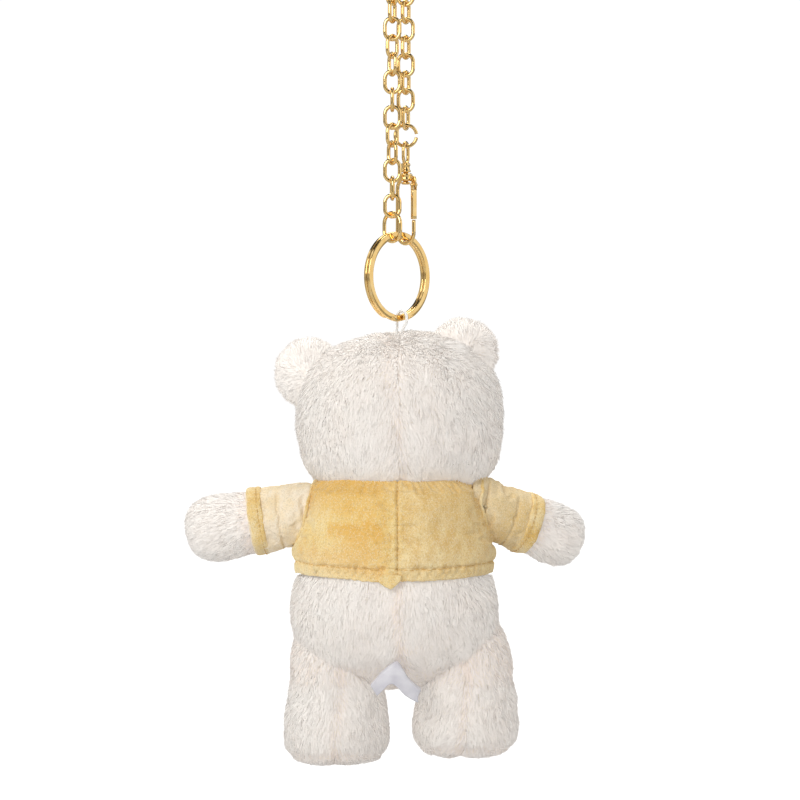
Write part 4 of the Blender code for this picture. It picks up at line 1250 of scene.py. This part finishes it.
# ---------------------------------------------------------------- the shirt and the label
SHIRT_X = -1.9
SHIRT_TOP = -168.3
SHIRT = [(-201.2, 32.7, 26.2), (-197, 33.0, 26.3), (-190, 32.6, 25.7), (-182, 31.4, 24.4), (-176, 30.2, 22.9),
         (-172.5, 28.8, 21.4), (-170.2, 27.0, 19.9), (-168.3, 24.6, 18.2), (-166.5, 10, 8)]


def buckle(name, grid, held, growth, cap):
    """Lets a tube of cloth buckle: grid is rows of points round the tube, held says how firmly each is
    sewn down, and the cloth is a little larger than the form it covers."""
    obj = new_object(name, *loft(list(grid * 10), caps=False), None)
    result = simulate(obj, held.ravel(), uniform_pressure_force=3.0, shrink_min=-growth, quality=5,
                      bending_stiffness=0.4)
    bpy.data.objects.remove(obj)
    return grid + capped(result.reshape(grid.shape) - grid, cap)


def finer_grid(grid, rows, count):
    """The same tube with more rows and columns, on smooth curves."""
    def spread(values, wanted, loop):
        have = len(values)
        t = np.linspace(0, have if loop else have - 1, wanted, endpoint=not loop)
        k = np.floor(t).astype(int)
        u = (t - k)[:, None, None]
        pick = (lambda i: values[i % have]) if loop else (lambda i: values[np.clip(i, 0, have - 1)])
        p0, p1, p2, p3 = (pick(k + i) for i in (-1, 0, 1, 2))
        return (p1 * 2 + (p2 - p0) * u + (p0 * 2 - p1 * 5 + p2 * 4 - p3) * u**2
                + (p1 * 3 - p0 - p2 * 3 + p3) * u**3) / 2
    return spread(spread(grid, rows, False).transpose(1, 0, 2), count, True).transpose(1, 0, 2)


def outward(grid):
    """The outward normals of a tube's grid."""
    round_it = np.roll(grid, -1, 1) - np.roll(grid, 1, 1)
    up_it = np.gradient(grid, axis=0)
    normal = np.cross(round_it, up_it)
    normal /= np.maximum(np.linalg.norm(normal, axis=2, keepdims=True), 1e-12)
    middle = grid.mean(axis=1, keepdims=True)
    return normal * np.sign((normal * (grid - middle)).sum())


def cloth_shell(name, grid, thick, material):
    """A tube of cloth with thickness and rolled edges, from the grid of its outer side."""
    normal = outward(grid)
    inner = grid - normal * thick
    down = grid[0] - grid[1]
    down /= np.linalg.norm(down, axis=1, keepdims=True)
    up = grid[-1] - grid[-2]
    up /= np.linalg.norm(up, axis=1, keepdims=True)
    rings = [grid[0] + (down * math.sin(a) - normal[0] * (1 - math.cos(a))) * thick / 2
             for a in (math.pi * k / 6 for k in range(5, 0, -1))]
    rings += list(grid)
    rings += [grid[-1] + (up * math.sin(a) - normal[-1] * (1 - math.cos(a))) * thick / 2
              for a in (math.pi * k / 6 for k in range(1, 6))]
    rings += list(inner[::-4]) + [inner[0]]
    points, faces = loft([list(r) for r in rings], closed=True)
    return new_object(name, points, faces, material)


def stitch_row(spots, outs, long, thick, every):
    """Short rounded stitches along a line of points, standing out of the cloth along outs."""
    run = np.concatenate([[0], np.cumsum(np.linalg.norm(np.diff(spots, axis=0), axis=1))])
    parts = []
    for s in np.arange(every / 2, run[-1] - long, every):
        path = []
        for k in range(6):
            t = k / 5
            at = s + (t - 0.5) * long
            spot = np.array([np.interp(at, run, spots[:, i]) for i in range(3)])
            out = np.array([np.interp(at, run, outs[:, i]) for i in range(3)])
            path.append(Vector(spot + out * (math.sin(math.pi * t) * 0.9 - 0.35) * thick))
        normal = Vector(outs[int(np.searchsorted(run, s)) % len(outs)])
        parts.append(sweep(path, round_outline(thick / 2, 6), normal.cross(path[-1] - path[0]).normalized()))
    return merge(parts)


def make_shirt(cloth, thread):
    rows, count = 34, 150
    z = np.linspace(SHIRT[0][0], SHIRT_TOP, rows)
    w, d = half_sizes(SHIRT, z)
    turn = np.linspace(0, 2 * np.pi, count, endpoint=False) - math.pi / 2
    x, y = (np.sign(v) * np.abs(v) ** (2 / ROUND) for v in (np.cos(turn), np.sin(turn)))
    mm = np.stack([SHIRT_X + w[:, None] * x, d[:, None] * y, z[:, None] + 0 * x], axis=2)
    seam_far = np.where(mm[..., 1] < 0, np.abs(mm[..., 0] + 0.4), 30)
    side_far = np.abs(np.hypot(mm[..., 1], mm[..., 2] + 180.5) - 10.5)
    held = np.clip(np.maximum.reduce([
        1 - (mm[..., 2] - SHIRT[0][0]) / 4.5,
        1 - (SHIRT_TOP - mm[..., 2]) / 3,
        1 - seam_far / 1.8,
        (1 - side_far / 2) * (np.abs(mm[..., 0] - SHIRT_X) > 20),
    ]), 0, 1)
    grid = finer_grid(buckle("shirt_cloth", mm * MM, held, 0.06, 1.1 * MM), 130, 520)
    mm = grid / MM
    low = mm[..., 2] - SHIRT[0][0]
    skew = grid @ np.array([[1, 0, 0.5], [0, 1, 0], [-0.7, 0, 1.0]])
    pucker = noise_on(grid * (1, 1, 0.3), 2.2, 73)
    out = noise_on(skew * (1, 1, 0.55), 8, 71) * 0.55 + noise_on(grid, 2.6, 72) * 0.10
    out += 0.38 / (1 + np.exp((low - 3.3) / 0.16)) - valley(low - 3.5, 0.45, 0.42) / MM
    out += pucker * 0.3 * np.exp(-((low - 3.6) / 2.4) ** 2)
    seam_far = np.where(mm[..., 1] < 0, mm[..., 0] + 0.4, 30)
    out += 0.3 * np.exp(-((np.abs(seam_far) - 1.0) / 0.6) ** 2) - 0.75 * np.exp(-((seam_far / 0.42) ** 2))
    out += 0.22 * pucker * np.exp(-((seam_far / 2.6) ** 2))
    grid = grid + outward(grid) * (out * MM)[..., None]
    ease = np.clip(1 - low / 22, 0, 1)
    ease = ease * ease * (3 - 2 * ease)
    grid[..., 2] += ((np.abs(grid[..., 0] / MM - SHIRT_X) / 33) ** 2 * 2.4 + 0.2) * ease * MM
    grid[..., 2] += noise_on(grid, 9, 75) * 0.35 * MM * ease
    stand_in(cloth_shell("shirt_body_sewn", grid, 1.0 * MM, cloth), "bear", "velour", "shirt_body")
    normal = outward(grid)
    hem = int(np.argmin(np.abs(low[:, 0] - 3.5)))
    column = int(np.argmin(np.abs(seam_far[60])))
    stitches = [stitch_row(grid[hem], normal[hem], 1.5 * MM, 0.26 * MM, 2.1 * MM),
                stitch_row(grid[4:-3, column], normal[4:-3, column], 1.0 * MM, 0.3 * MM, 1.7 * MM)]
    stand_in(new_object("shirt_stitches", *merge(stitches), thread), "bear", "velour")
    make_tab(cloth, grid[hem])


def make_tab(cloth, hem):
    """The small folded flap that hangs from the hem near the back seam."""
    outline = [(-7.4, -199.4), (-3.4, -199.0), (1.0, -199.2), (0.7, -201.1), (-1.0, -202.7), (-2.6, -204.0),
               (-4.4, -203.2), (-6.4, -201.9)]
    deep = float(hem[:, 1].min()) / MM
    layers = []
    for y, size in ((0.2, 0.9), (-0.35, 1.0), (-0.8, 1.0), (-1.15, 0.86), (-1.2, 0.5)):
        layers.append([Vector((-3.2 + (px + 3.2) * size, deep + y + 0.05 * (pz + 201),
                               -201.2 + (pz + 201.2) * size)) * MM
                       for px, pz in outline])
    points, faces = loft(layers)
    tab = new_object("hem_flap", points, faces, cloth)
    round_off = tab.modifiers.new("round", "BEVEL")
    round_off.width = 0.3 * MM
    round_off.segments = 3
    round_off.limit_method = "NONE"
    smooth_mesh(tab, 0, 0)
    stand_in(tab, "bear", "velour", "closure_tab")


def make_sleeve(side, cloth, trim, thread):
    """The sleeve, the cuff that is turned back at its end, and the rolled seam at the shoulder."""
    name = NAMES[side]
    scale = ARM_LENGTH[side]
    full = {-1: 1.0, 1: 0.91}[side]
    reach = np.array(reach_of(side))
    base = np.array(SHOULDER[side])
    up = unit(np.array([(0, 0, 1.0)]) - reach * reach[2])[0]

    def around(count):
        turn = np.linspace(0, 2 * np.pi, count, endpoint=False)[:, None]
        return np.cos(turn) * up + np.sin(turn) * np.cross(reach, up)

    rows, count = 30, 96
    ring = around(count)
    steps = np.linspace(0, 14, 141)
    start = np.zeros(count)
    for i in range(count):
        beyond = outside(base + reach * steps[:, None] + ring[i] * full * 10.0, SHIRT, SHIRT_X) > 1.0
        start[i] = steps[int(np.argmax(beyond))] if beyond.any() else 14
    start = np.mean([np.roll(start, k) for k in range(-3, 4)], axis=0)
    end = 24.6 * scale
    t = np.linspace(0, 1, rows)[:, None]
    s = (start - 2.6) * (1 - t) + end * t
    radius = full * np.interp(s / scale, (3, 8, 15, 21, 25), (9.9, 10.3, 10.1, 10.5, 10.9))
    grid = (base + reach * s[..., None] + ring * radius[..., None]) * MM
    held = np.maximum(np.clip(1 - t / 0.14, 0, 1), np.clip((t - 0.82) / 0.1, 0, 1)) + np.zeros((1, count))
    grid = finer_grid(buckle(f"sleeve_cloth_{name}", grid, held, 0.07, 1.0 * MM), 90, 300)
    t = np.linspace(0, 1, len(grid))[:, None]
    out = noise_on(grid * (0.8, 1, 1.5), 6, 81 + side) * 0.5 + noise_on(grid, 2.4, 83) * 0.12
    out += 0.3 * np.exp(-((t - 0.1) / 0.05) ** 2) * noise_on(grid, 2.8, 84)
    grid = grid + outward(grid) * (out * MM)[..., None]
    sleeve = cloth_shell(f"sleeve_sewn_{name}", grid, 0.9 * MM, cloth)
    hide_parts(f"sleeve_{name}")
    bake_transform(sleeve)

    profile = [(-4.9, 0.0), (-4.7, 0.45), (-4.0, 0.75), (-3.2, 0.45), (-2.0, 0.7), (-0.5, 0.75),
               (0.3, 0.35), (0.4, -0.3),
               (-0.2, -0.9), (-2.4, -1.0), (-4.7, -0.8)]
    fine = around(240)
    rings = []
    for s, r in profile:
        spot = (base + reach * (end + s * 0.95) + fine * (full * 10.7 + r)) * MM
        wave = (lattice_noise(spot, 4.5 * MM, 86 + side) * 0.4 + lattice_noise(spot, 1.3 * MM,
                                                                               87) * 0.22)[:, None] * MM
        rings.append(list(spot + fine * wave + reach * wave * 0.6))
    cuff = new_object(f"cuff_{name}", *loft(rings, closed=True), trim)
    smooth_mesh(cuff, 0, True)
    stand_in(cuff, f"arm_{name}", "velour")
    line = (base + reach * (end - 3.1) + fine * (full * 10.6 + 0.75)) * MM
    stitches = stitch_row(line, fine, 1.1 * MM, 0.26 * MM, 1.7 * MM)
    stand_in(new_object(f"cuff_stitches_{name}", *stitches, thread), f"arm_{name}", "velour")

    ridge = (base + reach * (start[:, None] + 0.25) + ring * full * 10.25) * MM
    ridge, _ = smooth_points([Vector(p) for p in [*ridge[::3], ridge[0]]], 181)
    wave = lattice_noise([tuple(p) for p in ridge[:-1]], 2.0 * MM, 88)
    path = [p + Vector(reach) * w * 0.25 * MM for p, w in zip(ridge, wave)]
    seam = new_object(f"shoulder_seam_{name}", *sweep(path, round_outline(0.62 * MM, 10), Vector(reach),
                                                      closed=True), trim)
    carve(seam, lambda p: lattice_noise(p, 0.9 * MM, 89) * 0.16 * MM)
    stand_in(seam, "bear", "velour")


def make_label(satin):
    """The blank care label: one satin tape, over the seam in an upturned V, with its right end folded
    up behind. Each row has the visible strip's upper and lower edge, and the tape runs on from the upper
    edge into the seam."""
    edges = [
        ((-9.4, -24.2, -235.8), (-7.2, -23.2, -239.2)),
        ((-7.2, -25.0, -233.4), (-5.6, -24.4, -237.6)),
        ((-4.9, -25.7, -231.2), (-4.2, -25.4, -236.1)),
        ((-2.6, -26.1, -229.4), (-2.9, -25.9, -235.2)),
        ((-0.6, -26.2, -228.6), (-1.7, -25.9, -235.4)),
        ((1.4, -26.1, -231.2), (-0.2, -25.6, -236.6)),
        ((3.4, -25.7, -234.2), (1.6, -25.0, -238.6)),
        ((5.4, -25.2, -236.0), (3.9, -24.4, -240.2)),
        ((7.0, -24.5, -237.3), (6.1, -23.9, -241.3)),
        ((7.0, -23.6, -237.2), (6.0, -23.1, -241.1)),
        ((5.0, -23.5, -235.6), (3.8, -23.0, -239.9)),
        ((2.8, -23.8, -233.6), (1.4, -23.3, -238.2)),
    ]
    upper, lower = (smooth_points([Vector(p) * MM for p in side], 120)[0] for side in zip(*edges))
    rows = []
    for a, b in zip(upper, lower):
        root = a + Vector((0, 2.2, 0.7)) * MM
        rows.append([tuple(root.lerp(a, k / 4)) for k in range(4)] + [tuple(a.lerp(b,
            k / 12)) for k in range(13)])
    grid = np.array(rows)
    normal = np.cross(np.gradient(grid, axis=0), np.gradient(grid, axis=1))
    normal /= np.maximum(np.linalg.norm(normal, axis=2, keepdims=True), 1e-12)
    grid = grid + normal * ((noise_on(grid, 4.5, 91) * 0.22 + noise_on(grid, 1.6, 92) * 0.05) * MM)[..., None]
    half = 0.12 * MM
    rings = np.concatenate([grid + normal * half, (grid - normal * half)[:, ::-1]], axis=1)
    label = new_object("label_tape", *loft([list(ring) for ring in rings]), satin)
    stand_in(label, "bear", "satin", "care_label")


# ---------------------------------------------------------------- the scene
make_camera()
make_stage()
make_world()
gold = gold_finish()
make_cord(cord_finish())
make_chain(gold)
make_jump_ring(gold)
make_key_ring(gold)
make_swivel(gold)
make_hook(gold, steel_finish())
backing = plush_finish()
fibres = fur_finishes()
make_head(backing, fibres, thread_finish("brown_thread", (0.075, 0.045, 0.03), (0.03, 0.018, 0.012)))
make_torso(backing, fibres)
for side in (-1, 1):
    make_leg(side, backing, fibres)
    make_arm(side, backing, fibres)
# the last colour is painted shade, for the right half of the shirt's back
body_cloth = velour_finish("velour_gold", (0.78, 0.46, 0.10), (0.86, 0.65, 0.27), (0.93, 0.82, 0.54), 0,
                           (0.70, 0.47, 0.18))
trim = velour_finish("velour_trim", (0.72, 0.46, 0.13), (0.82, 0.60, 0.25), (0.90, 0.75, 0.45), 45)
gold_thread = thread_finish("gold_thread", (0.74, 0.49, 0.16), (0.54, 0.32, 0.08))
make_shirt(body_cloth, gold_thread)
# lit and shaded copies of one velour: the left sleeve painted pale where the key lamp falls, the right
# painted darker, as in shade
sleeve_cloths = {
    -1: velour_finish("velour_sleeve_left", (0.89, 0.725, 0.47), (0.92, 0.80, 0.62), (0.94, 0.86, 0.73), 7),
    1: velour_finish("velour_sleeve_right", (0.73, 0.53, 0.24), (0.80, 0.63, 0.36), (0.86, 0.73, 0.52), 9),
}
for side in (-1, 1):
    make_sleeve(side, sleeve_cloths[side], trim, gold_thread)
make_label(satin_finish())
make_lamp("key", (-0.55, -0.95, 0.5), (0.7, 0.7), 8.8, (1.0, 0.985, 0.96))
make_lamp("fill", (0.8, -0.7, 0.1), (0.6, 0.8), 0.7, (0.97, 0.98, 1.0))
make_lamp("top", (0.05, 0.35, 0.8), (0.6, 0.4), 4.3, (1.0, 1.0, 1.0))
bpy.context.scene.view_settings.view_transform = "Standard"
